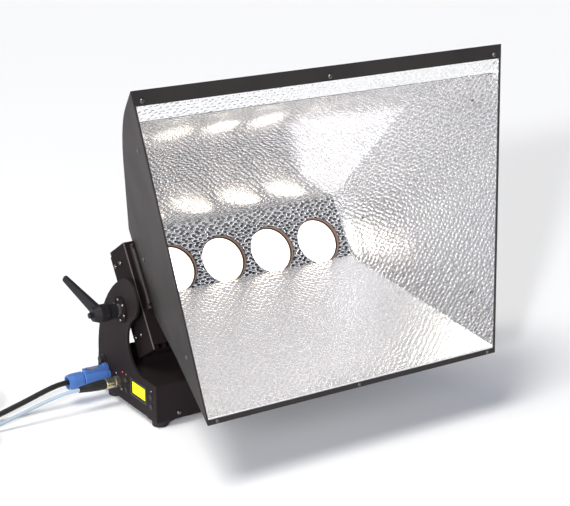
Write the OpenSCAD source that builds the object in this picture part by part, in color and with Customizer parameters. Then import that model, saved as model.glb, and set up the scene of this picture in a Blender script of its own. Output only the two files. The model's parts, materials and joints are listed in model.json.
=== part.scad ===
// Cyclorama light: a splayed reflector hood on a finned lamp head that tilts between two side plates
// +X runs across the hood, -Y is the way the light shines, +Z is up, and the origin is on the floor
// Hood and head are drawn in their own frame: x across, f forward and h up, from the back strip's centre

/* [Pose] */
// Angle of the light's aim above the horizontal, in degrees
tilt = 32; // [28:1:38]
// Height of the tilt axis above the floor
pivot_height = 178; // [174:1:190]

/* [Hood] */
// Width across the top of the hood's mouth
hood_w = 700; // [660:5:740]
// Distance from the back strip forward to the mouth's top edge
mouth_reach = 406; // [390:1:425]
// Distance from the back strip forward to the mouth's bottom edge
lip_reach = 216; // [205:1:225]
// Drop from the back strip's centre to the mouth's bottom edge
lip_drop = 312; // [295:1:320]
// Thickness of the hood's black sheet
sheet_t = 1.5; // [1.2:0.1:2.5]
// Upward slope of the hood's top skin behind its bend, in degrees
skin_rise = 24; // [22:0.5:26]
// Height of the top skin's rear edge above the back strip's centre
skin_rear_height = 70; // [66:1:78]
// Length of the top skin's straight rear stretch
skin_flat = 175; // [160:1:190]
// Radius of the top skin's bend
skin_curve_r = 400; // [380:1:430]
// Slope of the top skin's front stretch, in degrees downward
skin_fall = 3.5; // [2:0.5:6]
// Overhang of the top skin behind the head's front face
skin_overhang = 14; // [8:1:20]
// Gap between a side panel and the reflector inside it
side_air = 0.5; // [0.4:0.1:4]
// Width of the folded tabs on the side panels' curved edge
tab_w = 14; // [8:1:20]
// Distance from tab to tab
tab_pitch = 52; // [40:1:80]
// Height of the black flange over the mouth
top_flange_h = 22; // [16:1:28]
// Height of the black flange under the mouth
bottom_flange_h = 8; // [7:1:12]

/* [Reflectors] */
// Thickness of the hammered reflector sheet
reflector_t = 1; // [0.8:0.1:1.5]
// Width of the back strip
strip_w = 411; // [405:1:430]
// Height of the back strip that shows
strip_h = 113; // [108:1:120]
// Upward slope of the top reflector's straight stretch, in degrees
reflector_rise = 24.2; // [22:0.2:25]
// Length of the top reflector's straight stretch
reflector_flat = 186; // [160:1:190]
// Radius of the top reflector's bend
reflector_curve_r = 246; // [235:1:250]
// Turn of the top reflector's bend, in degrees
reflector_turn = 49.5; // [44:0.5:50]
// Height of the lip strip between the top flange and the top reflector
lip_h = 24; // [18:1:30]
// Height of the bottom reflector's fold that shows over the bottom flange
hem_show = 3; // [1:0.5:6]
// Distance from window to window
window_pitch = 99; // [97:1:101]
// Drop from the back strip's centre to the windows' centre line
window_drop = 17.8; // [12:0.2:18]
// Radius of the diffuser discs
disc_r = 41.7; // [38:0.1:42]
// Thickness of the diffuser discs
disc_t = 3; // [2:0.5:4]

/* [Lamp head] */
// Distance from the back strip back to the head's front face
head_setback = 14; // [13.5:0.5:18]
// Depth of the head from its front face to the end plates' rear edge
head_depth = 64; // [60:1:70]
// Height of the head's top above the back strip's centre
head_above = 46; // [44:1:52]
// Drop from the back strip's centre to the head's bottom
head_below = 145; // [130:1:150]
// Distance from the back strip back to the tilt axis
pivot_setback = 53; // [48:0.5:56]
// Drop from the back strip's centre to the tilt axis
pivot_drop = 59.4; // [56:0.2:64]
// Distance across the outer faces of the end plates
head_w = 446; // [440:1:452]
// Thickness of the end plates
end_plate_t = 4; // [3:0.5:5]
// Thickness of the front lamp plate
lamp_plate_t = 4; // [3:0.5:6]
// Distance from fin to fin
fin_pitch = 11; // [9:0.5:14]
// Thickness of one fin
fin_t = 2.2; // [1.6:0.1:3]
// Thickness of the heat sink's base
sink_base_t = 8; // [6:0.5:10]
// Thickness of the heat sink's end walls
sink_wall_t = 8; // [7:0.5:10]
// Reach of the fins behind the end plates' rear edge
fin_overhang = 3; // [0:0.5:5]
// Depth of the lamp chamber behind the lamp plate
chamber_depth = 24; // [20:1:28]

/* [Base] */
// Thickness of the friction discs between the head and the side plates
friction_t = 15.9; // [12:0.1:20]
// Thickness of the side plates
side_t = 4; // [3:0.5:5]
// Reach of the base in front of the tilt axis
base_front_reach = 120; // [112:1:130]
// Reach of the base behind the tilt axis
base_rear_reach = 101; // [98:1:110]
// Height of the base's flat top above the floor
base_top = 77; // [74:1:80]
// Height of the rubber feet
foot_h = 11; // [9:0.5:14]
// Diameter of the rubber feet
foot_d = 28; // [24:1:30]
// Radius of the hollow in the side plates' front edge
hollow_r = 52; // [48:1:56]
// Distance from the tilt axis forward to the lowest point of that hollow
hollow_reach = 73; // [70:1:76]
// Radius of the side plates' rear sweep
rear_curve_r = 183; // [178:1:186]
// Distance from the tilt axis forward to the centre of the rear sweep
rear_curve_reach = 90; // [88:1:94]
// Height of the centre of the rear sweep
rear_curve_height = 72; // [68:1:76]
// Radius of the side plates' round head
arm_head_r = 36.5; // [32:0.5:42]
// Thickness of the cover's sheet
cover_t = 2; // [1.5:0.5:3]
// Radius of the cover's concave sweep under the head
cover_curve_r = 50; // [46:1:52]
// Distance from the tilt axis forward to where that sweep starts
cover_curve_reach = 25; // [24:1:30]
// Turn of the cover's sweep, in degrees
cover_turn = 64; // [56:1:66]
// Height of the cover's rear wall
cover_rear_height = 62; // [50:1:70]
// Length of the power supply
supply_l = 215; // [180:5:225]
// Depth of the power supply
supply_w = 115; // [90:5:120]
// Height of the power supply
supply_h = 42; // [35:1:46]
// Length of the driver board
driver_l = 120; // [90:5:125]
// Depth of the driver board
driver_w = 95; // [80:5:110]

/* [Tilt hardware] */
// Diameter of the pivot stud and bolt
stud_d = 12; // [10:0.5:14]
// Diameter of the friction discs and outer flanges
flange_d = 46; // [42:1:50]
// Thickness of the outer flanges
flange_t = 3; // [2:0.5:4]
// Pitch circle of the flange screws
flange_pcd = 36; // [34:1:38]
// Screws in each flange
flange_screws = 6; // [4:1:8]

/* [Lever] */
// Distance from the side plate to the hub's outer end
lever_height = 54; // [50:1:60]
// Diameter of the lever's hub
hub_d = 32; // [28:0.5:34]
// Length of the lever's arm from the hub's axis
arm_len = 93; // [80:1:110]
// Width of the arm at the hub
arm_root_w = 25; // [16:0.5:27]
// Width of the arm at its tip
arm_tip_w = 14; // [8:0.5:15]
// Outward lean of the arm, in degrees
arm_lean = 15; // [10:1:20]
// Angle of the arm above the horizontal, in degrees
arm_angle = 31; // [0:1:60]
// Diameter of the release button
release_d = 10; // [8:0.5:12]
// Travel of the release button
release_travel = 3; // [2:0.5:4]

/* [Controls] */
// Distance from the base's front to the middle of the control group
controls_at = 63.5; // [60:0.5:68]
// Height of the display's centre
display_z = 47; // [45:0.5:49]
// Width of the display's lit glass
display_w = 46; // [40:1:50]
// Height of the display's lit glass
display_h = 21; // [18:1:24]
// Distance from the display's centre to the button columns
button_offset = 45; // [42:0.5:48]
// Diameter of the push buttons
button_d = 9.6; // [8:0.2:11]
// Travel of the push buttons
button_travel = 1; // [0.5:0.1:1.2]
// Height of the upper buttons
button_high = 51; // [49:0.5:53]
// Height of the lower buttons
button_low = 34.5; // [32:0.5:36]
// Distance from the base's front to the data socket
data_at = 136; // [134:0.5:138]
// Height of the data socket
data_z = 41; // [38:0.5:44]
// Distance from the base's front to the power socket
power_at = 177; // [175:0.5:180]
// Height of the power socket
power_z = 41; // [38:0.5:44]
// Diameter of the panel holes for the sockets
socket_d = 24; // [22:0.5:25]
// Distance from the power socket back to the fuse holder
fuse_offset = 16.5; // [16:0.5:19]
// Height of the fuse holder above the power socket
fuse_rise = 22.5; // [22:0.5:24]

/* [Cords] */
// Diameter of the power lead
lead_d = 9.5; // [9:0.1:10]
// Diameter of the data cable
data_d = 6.4; // [6:0.1:6.8]

/* [Hidden] */
$fn = 96;
// Running clearance of a shaft in its bore, on the radius
running = 0.05;
// Clearance of a screw in its hole, on the radius
screw_play = 0.2;
// Gap between pieces that lie side by side
seat = 0.3;
// Overshoot of a cut through a face
cut = 1;
// A length past everything, for cuts and half planes
far = 900;
m4_d = 4;
m3_d = 3;

// Small vector helpers
function unit(v) = v / norm(v);
function away(v) = [-v.y, v.x];
function toward(a, b, s) = a + s * unit(b - a);
function polar(r, a) = [r * cos(a), r * sin(a)];
// Where the lines a-b and c-d cross
function crossing(a, b, c, d) =
  let (u = b - a, v = d - c, w = c - a)
  a + u * (w.x * v.y - w.y * v.x) / (u.x * v.y - u.y * v.x);
// The upper left point at distance ra from a and rb from b
function circles_meet(a, ra, b, rb) =
  let (d = norm(b - a), s = (ra * ra - rb * rb + d * d) / (2 * d), e = unit(b - a))
  a + s * e + sqrt(ra * ra - s * s) * [e.y, -e.x];

// A bent sheet's line: start, rise, straight length, bend radius, turn and front length
function bend_start(b) = b[0] + polar(b[2], b[1]);
function bend_centre(b) = bend_start(b) + b[3] * [sin(b[1]), -cos(b[1])];
function bend_end(b) = bend_centre(b) + polar(b[3], 90 + b[1] - b[4]);
function bend_tip(b, off = 0) =
  bend_end(b) + polar(b[5], b[1] - b[4]) + polar(off, 90 + b[1] - b[4]);

// The hood's top skin, by its outer face
skin_start = [-head_setback - skin_overhang, skin_rear_height];
skin_turn = skin_rise + skin_fall;
skin_short = [skin_start, skin_rise, skin_flat, skin_curve_r, skin_turn, 0];
skin_front = (mouth_reach - bend_end(skin_short).x) / cos(skin_fall);
skin = [skin_start, skin_rise, skin_flat, skin_curve_r, skin_turn, skin_front];
// The top reflector, by its bright lower face
upper = [[0, strip_h / 2], reflector_rise, reflector_flat, reflector_curve_r, reflector_turn, 0];

// The mouth's plane, seen from the side
mouth_top = bend_tip(skin);
mouth_low = [lip_reach, -lip_drop];
mouth_dir = unit(mouth_top - mouth_low);
mouth_lean = atan2(mouth_dir.y, mouth_dir.x);
// The bottom reflector's bright face and the bottom skin's outer face
lower_start = [0, -strip_h / 2];
lower_end = mouth_low + (bottom_flange_h + hem_show) * mouth_dir;
underside_gap = 15;
underside_bend = 150;
underside_mid = toward(lower_start, lower_end, underside_bend)
  - underside_gap * away(unit(lower_end - lower_start));
underside_rear = [-head_setback, -strip_h / 2 - 34];

// Distance across from a side reflector's bright face to the side panel's outer face
side_gap = reflector_t + side_air + sheet_t;
// Half width between the reflectors at a distance in front of the strip
splay = (hood_w / 2 - side_gap - strip_w / 2) / mouth_reach;
splay_angle = atan(splay);
function half_w(f) = strip_w / 2 + splay * f;

// The tilt axis stands where the whole object is centred from front to back
hood_front = (lip_reach + pivot_setback) * cos(tilt) + (lip_drop - pivot_drop) * sin(tilt);
pivot_y = (hood_front - base_rear_reach) / 2;
base_front = pivot_y - base_front_reach;
base_rear = pivot_y + base_rear_reach;
base_bottom = foot_h;
disc_gap = 0.1;
base_half = head_w / 2 + disc_gap + friction_t + side_t;

// Places children in the hood's and head's frame
module in_head() {
  translate([0, pivot_y, pivot_height])
    rotate([-tilt, 0, 0])
      translate([0, -pivot_setback, pivot_drop])
        children();
}

// Places a child's z axis on the tilt axis, pointing out of the left (-1) or right (1) side
module on_pivot(side) {
  translate([0, pivot_y, pivot_height])
    rotate([0, 90 * side, 0])
      children();
}

// Places children on the left side plate's outer face: x up, z outward
module on_panel(at, z) {
  translate([-base_half, base_front + at, z])
    rotate([0, -90, 0])
      children();
}

// Turns an (f, h) outline into a slab across the hood
module across(w) {
  rotate([90, 0, -90])
    linear_extrude(w, center = true)
      children();
}

// Turns a (y, z) outline into a plate of thickness t that starts at x
module plate_at(x, t) {
  translate([x, 0, 0])
    rotate([90, 0, 90])
      linear_extrude(t)
        children();
}

// A sheet that follows short straight runs, seen from the side and drawn about its middle line
module folded(points, t) {
  for (i = [0 : len(points) - 2]) {
    run = points[i + 1] - points[i];
    translate(points[i])
      rotate(atan2(run.y, run.x))
        translate([0, -t / 2])
          square([norm(run), t]);
  }
  for (i = [1 : len(points) - 2])
    translate(points[i])
      circle(d = t);
}

// The sector in which a bent sheet's arc lies
module bend_sector(b) {
  reach = 3 * b[3];
  translate(bend_centre(b))
    polygon([[0, 0], polar(reach, 90 + b[1]), polar(reach, 90 + b[1] - b[4] / 2),
      polar(reach, 90 + b[1] - b[4])]);
}

// A bent sheet's profile between two offsets from its line
module bent(b, low, high) {
  translate(b[0])
    rotate(b[1])
      translate([0, low])
        square([b[2], high - low]);
  intersection() {
    translate(bend_centre(b))
      difference() {
        circle(b[3] + high, $fn = 360);
        circle(b[3] + low, $fn = 360);
      }
    bend_sector(b);
  }
  if (b[5] > 0)
    translate(bend_end(b))
      rotate(b[1] - b[4])
        translate([0, low])
          square([b[5], high - low]);
}

// Everything under a bent sheet's line, raised by off
module under_bend(b, off) {
  depth = b[3] + off;
  translate(b[0])
    rotate(b[1])
      translate([-b[3], -depth + off])
        square([b[2] + b[3], depth]);
  intersection() {
    translate(bend_centre(b))
      circle(b[3] + off, $fn = 360);
    bend_sector(b);
  }
  translate(bend_end(b))
    rotate(b[1] - b[4])
      translate([0, -depth + off])
        square([b[5] + b[3], depth]);
  translate([-far, -far])
    square([2 * far, far + 0.4 * strip_h]);
}

// The side layers run from past behind the strip to past in front of the mouth
past = 60;

// The space between the hood's sides, moved out by off
module between_sides(off) {
  back = -past;
  front = mouth_reach + past;
  a = half_w(back) + off;
  b = half_w(front) + off;
  translate([0, 0, -far / 2])
    linear_extrude(far)
      polygon([[-a, -back], [a, -back], [b, -front], [-b, -front]]);
}

// A layer beside the hood's side, between two offsets from the reflector's bright face
module side_layer(side, low, high) {
  back = -past;
  front = mouth_reach + past;
  a = half_w(back);
  b = half_w(front);
  translate([0, 0, -far / 2])
    linear_extrude(far)
      polygon([[side * (a + low), -back], [side * (a + high), -back],
        [side * (b + high), -front], [side * (b + low), -front]]);
}

// A button-headed screw that points down -z, with its head above z = 0
module screw(d, length, head_d, head_h) {
  difference() {
    rotate_extrude()
      polygon([[0, -length], [d / 2, -length], [d / 2, 0], [head_d / 2, 0],
        [head_d / 2, head_h * 0.4], [head_d * 0.35, head_h], [0, head_h]]);
    translate([0, 0, head_h * 0.35])
      cylinder(d = d * 0.7, h = head_h, $fn = 6);
  }
}

module m4_screw(length) {
  screw(m4_d, length, 8, 2.4);
}

module m3_screw(length) {
  screw(m3_d, length, 5.6, 1.8);
}

// Gap between the head's top and the hood over it
top_seat = 2;

// Hood side outline
module side_outline(off) {
  head_top = head_above + top_seat;
  rise = (far - mouth_top.y) / mouth_dir.y;
  intersection() {
    polygon([underside_rear, [-head_setback, head_top], [skin_start.x, head_top],
      [skin_start.x, far], mouth_top + rise * mouth_dir, mouth_low, underside_mid]);
    under_bend(skin, off);
  }
}

// Screws through the hood's sides: distance in front of the strip and height above its centre
side_screw_sites = [[326, 104], [47, -3], [210, -201]];
side_screw_length = 5;

// Places children at each screw of one hood side, z pointing out
module on_side(side) {
  for (p = side_screw_sites)
    translate([side * (half_w(p[0]) + side_gap), -p[0], p[1]])
      rotate([0, 0, side * splay_angle])
        rotate([0, side * 90, 0])
          children();
}

module side_screw_holes(side) {
  on_side(side)
    translate([0, 0, -3 * side_screw_length])
      cylinder(r = m4_d / 2 + screw_play, h = 4 * side_screw_length);
}

// Places children on the mouth's plane at a distance up from its bottom edge, z pointing forward
module on_mouth(up) {
  p = mouth_low + up * mouth_dir;
  translate([0, -p.x, p.y])
    rotate([180 - mouth_lean, 0, 0])
      children();
}

mouth_h = norm(mouth_top - mouth_low);
flange_screw_inset = 17;
top_screw_x = [-1, 0, 1] * (hood_w / 2 - flange_screw_inset);
bottom_screw_x = [-1, 0, 1] * (half_w(lip_reach) + side_gap - flange_screw_inset);
top_screw_up = mouth_h - 15;
bottom_screw_up = bottom_flange_h / 2;
top_screw_length = 6;
bottom_screw_length = 4;
// Distance from the mouth's top edge to the lip strip's hidden upper edge
lip_hem = 8;

// Clearance holes for a flange's screws of a length
module flange_screw_holes(xs, up, d, length) {
  for (x = xs)
    on_mouth(up)
      translate([x, 0, -length - cut])
        cylinder(r = d / 2 + screw_play, h = length + 2 * cut);
}

module top_screw_holes() {
  flange_screw_holes(top_screw_x, top_screw_up, m4_d, top_screw_length);
}

module bottom_screw_holes() {
  flange_screw_holes(bottom_screw_x, bottom_screw_up, m3_d, bottom_screw_length);
}

// Hood side panel with its folded tabs and its narrow front return
module hood_side(side) {
  return_w = side_gap + seat;
  color("#2b2725")
    in_head()
      difference() {
        union() {
          intersection() {
            side_layer(side, side_gap - sheet_t, side_gap);
            across(far)
              side_outline(sheet_t);
          }
          difference() {
            intersection() {
              side_layer(side, side_gap - tab_w, side_gap);
              across(far)
                intersection() {
                  bent(skin, 0, sheet_t);
                  side_outline(sheet_t);
                  behind_mouth(sheet_t + seat);
                }
            }
            tab_slots();
          }
          intersection() {
            side_layer(side, side_gap - return_w, side_gap);
            across(far)
              intersection() {
                mouth_strip(bottom_flange_h + seat, mouth_h - top_flange_h - seat);
                side_outline(0);
              }
          }
        }
        side_screw_holes(side);
      }
}

// A strip of sheet just behind the mouth's plane, seen from the side
module mouth_strip(from, to) {
  translate(mouth_low + from * mouth_dir)
    rotate(mouth_lean)
      square([to - from, sheet_t]);
}

// Gaps between the tabs
module tab_slots() {
  slot_w = 5;
  for (f = [skin_start.x + tab_pitch : tab_pitch : mouth_reach - tab_w])
    translate([-far / 2, -f - slot_w / 2, strip_h / 2])
      cube([far, slot_w, far]);
}

module hood_top_skin() {
  color("#26221f")
    in_head()
      intersection() {
        between_sides(side_gap - sheet_t - seat);
        across(far)
          intersection() {
            union() {
              bent(skin, -sheet_t, 0);
              translate([skin_start.x, head_above + top_seat])
                square([sheet_t, skin_rear_height - head_above - top_seat - sheet_t / 2]);
            }
            behind_mouth(sheet_t + seat);
          }
      }
}

// Everything behind the mouth's plane, less a gap
module behind_mouth(gap) {
  p = mouth_low + gap * away(mouth_dir);
  translate(p)
    rotate(mouth_lean)
      translate([-far, 0])
        square([2 * far, far]);
}

module hood_bottom_skin() {
  inward = sheet_t / 2;
  run_a = unit(underside_mid - underside_rear);
  run_b = unit(mouth_low - underside_mid);
  color("#26221f")
    in_head()
      difference() {
        intersection() {
          between_sides(side_gap - sheet_t - seat);
          across(far)
            intersection() {
              folded([underside_rear + inward * away(run_a) - head_setback * run_a,
                underside_mid + inward * unit(away(run_a) + away(run_b)),
                mouth_low + inward * away(run_b)], sheet_t);
              behind_mouth(sheet_t + seat);
              translate([-head_setback, -far])
                square([far, 2 * far]);
            }
        }
        bottom_screw_holes();
      }
}

// The flange over the mouth, as high as the tabs beside it
module top_flange() {
  color("#231f1d")
    in_head()
      difference() {
        intersection() {
          between_sides(side_gap - sheet_t - seat);
          across(far)
            mouth_strip(mouth_h - top_flange_h, mouth_h + sheet_t);
        }
        top_screw_holes();
      }
}

module bottom_flange() {
  color("#231f1d")
    in_head()
      difference() {
        intersection() {
          between_sides(side_gap - sheet_t - seat);
          across(far)
            mouth_strip(0, bottom_flange_h);
        }
        bottom_screw_holes();
      }
}

module reflector_top() {
  color("#c9cdd2")
    in_head()
      intersection() {
        between_sides(-seat);
        across(far)
          difference() {
            bent(upper, 0, reflector_t);
            translate([-far, -far])
              square([far, 2 * far]);
          }
      }
}

// The bottom reflector, folded down behind the bottom flange
module reflector_bottom() {
  dir = unit(lower_end - lower_start);
  start = lower_start - reflector_t / 2 * away(dir) + reflector_t * abs(dir.y) / dir.x * dir;
  hem = mouth_low + (sheet_t + seat + reflector_t / 2) * away(mouth_dir);
  corner = crossing(start, start + dir, hem, hem + mouth_dir);
  color("#d2d5d9")
    in_head()
      difference() {
        intersection() {
          between_sides(-seat);
          across(far)
            folded([start, corner, hem + (bottom_screw_up - 0.5) * mouth_dir], reflector_t);
        }
        bottom_screw_holes();
      }
}

// A reflector inside the hood's side, from the strip to the mouth
module reflector_side(side) {
  margin = 6;
  dir = unit(lower_end - lower_start);
  color("#cdd1d6")
    in_head()
      difference() {
        intersection() {
          side_layer(side, 0, reflector_t);
          across(far)
            intersection() {
              union() {
                under_bend(upper, margin);
                polygon([bend_end(upper), bend_tip(upper, margin),
                  mouth_top - (top_flange_h - margin) * mouth_dir, mouth_low]);
              }
              behind_mouth(sheet_t + seat);
              translate([-seat, -far])
                square([far, 2 * far]);
              polygon([lower_start - margin * away(dir), lower_start + [0, far],
                lower_end + [far, far], lower_end + 60 * dir - margin * away(dir)]);
            }
        }
        side_screw_holes(side);
      }
}

// Places children at each window, z pointing forward from the back strip
module at_windows() {
  for (i = [0 : 3])
    translate([(i - 1.5) * window_pitch, 0, -window_drop])
      rotate([90, 0, 0])
        children();
}

// The rims' bore clears the discs, and the windows show a little of the rims' front
rim_bore = disc_r + seat;
rim_wall = 3;
rim_lip = 1.5;
rim_lip_t = 1;
window_r = rim_bore + 1;
disc_back = -head_setback + 0.2;
disc_front = disc_back + disc_t;

module reflector_strip() {
  overlap = 7;
  color("#8d9196")
    in_head()
      difference() {
        translate([-strip_w / 2 + 2 * seat, seat, -strip_h / 2 - overlap])
          cube([strip_w - 4 * seat, reflector_t, strip_h + overlap + 2]);
        at_windows()
          translate([0, 0, -seat - reflector_t - cut])
            cylinder(r = window_r, h = reflector_t + 2 * cut);
      }
}

// A strip tucked behind the top flange that closes the gap down to the top reflector
module reflector_lip() {
  tuck = (sheet_t + seat + reflector_t / 2) * away(mouth_dir);
  low = bend_tip(upper, reflector_t + 2 * seat + reflector_t / 2);
  color("#d6d9dc")
    in_head()
      difference() {
        intersection() {
          between_sides(-seat);
          across(far)
            folded([mouth_top - lip_hem * mouth_dir + tuck,
              mouth_top - top_flange_h * mouth_dir + tuck, low], reflector_t);
        }
        top_screw_holes();
      }
}

// Lamp head
end_x = head_w / 2;
sink_x = end_x - end_plate_t;
sink_front = head_setback + lamp_plate_t + chamber_depth;
sink_back = head_setback + head_depth + fin_overhang;
chamber_low = -head_below + 67;

// A block of the head: half widths x0 to x1, depths f0 to f1 behind the strip, heights h0 to h1
module head_block(x0, x1, f0, f1, h0, h1) {
  translate([x0, f0, h0])
    cube([x1 - x0, f1 - f0, h1 - h0]);
}

// End plate screws: distance behind the strip and height above its centre
end_screw_sites = [[46, 19], [68, 19], [46, -110.5], [68, -110.5]];
end_screw_length = 11;

// Places children at an end plate's screws, z pointing out
module at_end_screws(side) {
  for (p = end_screw_sites)
    translate([side * end_x, p[0], p[1]])
      rotate([0, side * 90, 0])
        children();
}

// The tilt axis in the head's frame, z pointing out
module head_axis(side) {
  translate([0, pivot_setback, -pivot_drop])
    rotate([0, side * 90, 0])
      children();
}

module heat_sink() {
  fins = floor((sink_x - sink_wall_t - fin_t) / fin_pitch);
  color("#1d1a19")
    in_head()
      difference() {
        union() {
          head_block(-sink_x, sink_x, sink_front, sink_front + sink_base_t, -head_below, head_above);
          for (i = [-fins : fins]) {
            x = i * fin_pitch;
            head_block(x - fin_t / 2, x + fin_t / 2, sink_front, sink_back, -head_below, head_above);
            head_block(x - fin_t / 2, x + fin_t / 2, head_setback + lamp_plate_t,
              sink_front + 1, -head_below, chamber_low);
          }
          for (side = [-1, 1]) {
            a = side * sink_x;
            b = side * (sink_x - sink_wall_t);
            head_block(min(a, b), max(a, b), head_setback + lamp_plate_t,
              sink_back - fin_overhang, -head_below, head_above);
          }
        }
        for (side = [-1, 1]) {
          at_end_screws(side)
            translate([0, 0, -2 * end_screw_length])
              cylinder(r = m4_d / 2 + screw_play, h = 3 * end_screw_length);
          head_axis(side)
            translate([0, 0, sink_x - sink_wall_t - cut])
              cylinder(r = stud_d / 2 + running, h = 3 * sink_wall_t);
        }
      }
}

module end_plate(side) {
  notch_d = 4;
  notch_h = 8;
  a = side * sink_x;
  b = side * end_x;
  color("#211d1b")
    in_head()
      difference() {
        head_block(min(a, b), max(a, b), head_setback, head_setback + head_depth,
          -head_below, head_above);
        head_block(min(a, b) - cut, max(a, b) + cut, head_setback + head_depth - notch_d,
          head_setback + head_depth + cut, head_above - notch_h, head_above + cut);
        at_end_screws(side)
          translate([0, 0, -2 * end_plate_t])
            cylinder(r = m4_d / 2 + screw_play, h = 3 * end_plate_t);
        head_axis(side)
          cylinder(r = stud_d / 2 + running, h = end_x + cut);
      }
}

module lamp_plate() {
  hole_r = disc_r - 1.2;
  wall = 4;
  comb_show = 8;
  deep = head_setback + lamp_plate_t + chamber_depth;
  color("#1f1c1a")
    in_head()
      difference() {
        union() {
          head_block(-sink_x, sink_x, head_setback, head_setback + lamp_plate_t,
            -head_below + comb_show, head_above);
          head_block(-sink_x + sink_wall_t + seat, sink_x - sink_wall_t - seat,
            head_setback, deep, head_above - wall, head_above);
          head_block(-sink_x + sink_wall_t + seat, sink_x - sink_wall_t - seat,
            head_setback, deep, chamber_low + seat, chamber_low + seat + wall);
        }
        at_windows()
          translate([0, 0, -head_setback - lamp_plate_t - cut])
            cylinder(r = hole_r, h = lamp_plate_t + 2 * cut);
        rail_screw_sites()
          translate([0, 0, -lamp_plate_t - cut])
            cylinder(r = m3_d / 2 + screw_play, h = lamp_plate_t + 2 * cut);
      }
}

cup_low_r = 14;
board_t = 1.6;
cup_t = 1.2;

module led_modules() {
  board = 40;
  emitter_r = 11;
  color("#e9e4d4")
    in_head()
      at_windows() {
        translate([-board / 2, -board / 2, -sink_front])
          cube([board, board, board_t]);
        translate([0, 0, -sink_front + board_t / 2])
          cylinder(r = emitter_r, h = 1.5 * board_t);
      }
}

// A reflecting cup from the light source up to the diffuser's seat
module mixing_cups() {
  low = -sink_front + board_t + seat;
  high = -head_setback - seat;
  top_r = disc_r - 4;
  ring_r = top_r + cup_t;
  color("#b98a4a")
    in_head()
      at_windows()
        rotate_extrude()
          polygon([[cup_low_r, low], [cup_low_r + cup_t, low], [cup_low_r + 14, low + 12],
            [ring_r, high - 4], [ring_r, high], [top_r, high], [top_r, high - 4],
            [cup_low_r + 14 - cup_t, low + 12]]);
}

// Rims that hold the diffusers behind a thin lip and carry the back strip
module window_rings() {
  front = -seat - reflector_t - disc_gap;
  lip_r = rim_bore - rim_lip;
  color("#a9793f")
    in_head()
      at_windows()
        rotate_extrude()
          polygon([[rim_bore, front], [rim_bore + rim_wall, front], [rim_bore + rim_wall, -head_setback],
            [rim_bore, -head_setback], [rim_bore, disc_front + seat], [lip_r, disc_front + seat],
            [lip_r, disc_front + seat + rim_lip_t], [rim_bore, disc_front + seat + rim_lip_t]]);
}

module diffuser_discs() {
  color("#fffaf0")
    in_head()
      at_windows()
        translate([0, 0, disc_back])
          cylinder(r = disc_r, h = disc_t);
}

rail_w = 8;
rail_flat = 4;
rail_x = half_w(rail_flat - head_setback) + side_gap + 2 * seat + rail_w / 2;
rail_low = -76;
rail_high = 40;

// Places children at the rails' screws, z pointing forward from the head's front face
module rail_screw_sites() {
  for (side = [-1, 1])
    for (h = [rail_low + 6, rail_high - 6])
      translate([side * rail_x, head_setback, h])
        rotate([90, 0, 0])
          children();
}

// Rounded rails that hold the hood's sides against the head
module hood_rails() {
  flat = rail_flat;
  color("#2a2523")
    in_head()
      for (side = [-1, 1])
        difference() {
          translate([side * rail_x, head_setback, rail_low])
            linear_extrude(rail_high - rail_low) {
              translate([-rail_w / 2, -flat])
                square([rail_w, flat]);
              translate([0, -flat])
                circle(d = rail_w);
            }
          rail_screw_sites()
            translate([0, 0, -cut])
              cylinder(r = m3_d / 2 + screw_play, h = rail_w + flat);
          rail_screw_sites()
            translate([0, 0, flat + 1])
              cylinder(d = 6.4, h = rail_w);
        }
}

// Screws of the hood and head
module head_screws() {
  color("#8b8782")
    in_head() {
      for (side = [-1, 1]) {
        on_side(side)
          m4_screw(side_screw_length);
        at_end_screws(side)
          m4_screw(end_screw_length);
      }
      for (x = top_screw_x)
        on_mouth(top_screw_up)
          translate([x, 0, 0])
            m4_screw(top_screw_length);
      for (x = bottom_screw_x)
        on_mouth(bottom_screw_up)
          translate([x, 0, 0])
            m3_screw(bottom_screw_length);
      rail_screw_sites()
        translate([0, 0, 5])
          m3_screw(8);
    }
}

// Base side plate outline: flat top, hollow front edge, round head and long rear sweep
hollow_centre = [pivot_y - hollow_reach, base_top + hollow_r];
rear_curve_centre = [pivot_y - rear_curve_reach, rear_curve_height];
arm_head = circles_meet(rear_curve_centre, rear_curve_r - arm_head_r, hollow_centre, hollow_r + arm_head_r);

module side_plate_outline() {
  out = arm_head + 2 * arm_head_r * unit(arm_head - rear_curve_centre);
  difference() {
    union() {
      polygon([[base_front, base_bottom], [base_front, base_top], [hollow_centre.x, base_top],
        [rear_curve_centre.x + rear_curve_r, rear_curve_height], [base_rear, base_bottom]]);
      intersection() {
        translate(rear_curve_centre)
          circle(rear_curve_r, $fn = 360);
        polygon([[hollow_centre.x, rear_curve_height], hollow_centre, arm_head, out,
          [out.x + far, out.y], [out.x + far, rear_curve_height]]);
      }
      translate(arm_head)
        circle(arm_head_r);
    }
    intersection() {
      translate(hollow_centre)
        circle(hollow_r, $fn = 180);
      translate([-far, base_top])
        square([2 * far, far]);
    }
  }
}

// Flange screws round the tilt axis
module at_flange_screws() {
  for (i = [0 : flange_screws - 1])
    rotate(i * 360 / flange_screws + 12)
      translate([flange_pcd / 2, 0, 0])
        children();
}

// Corner screws of one panel socket, on opposite corners
module at_socket_screws(at, z) {
  for (s = [-1, 1])
    on_panel(at - s * 9.5, z - s * 12)
      children();
}

module pivot_holes(side) {
  on_pivot(side) {
    cylinder(r = stud_d / 2 + running, h = far);
    at_flange_screws()
      cylinder(r = m3_d / 2 + screw_play, h = far);
  }
}

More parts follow.
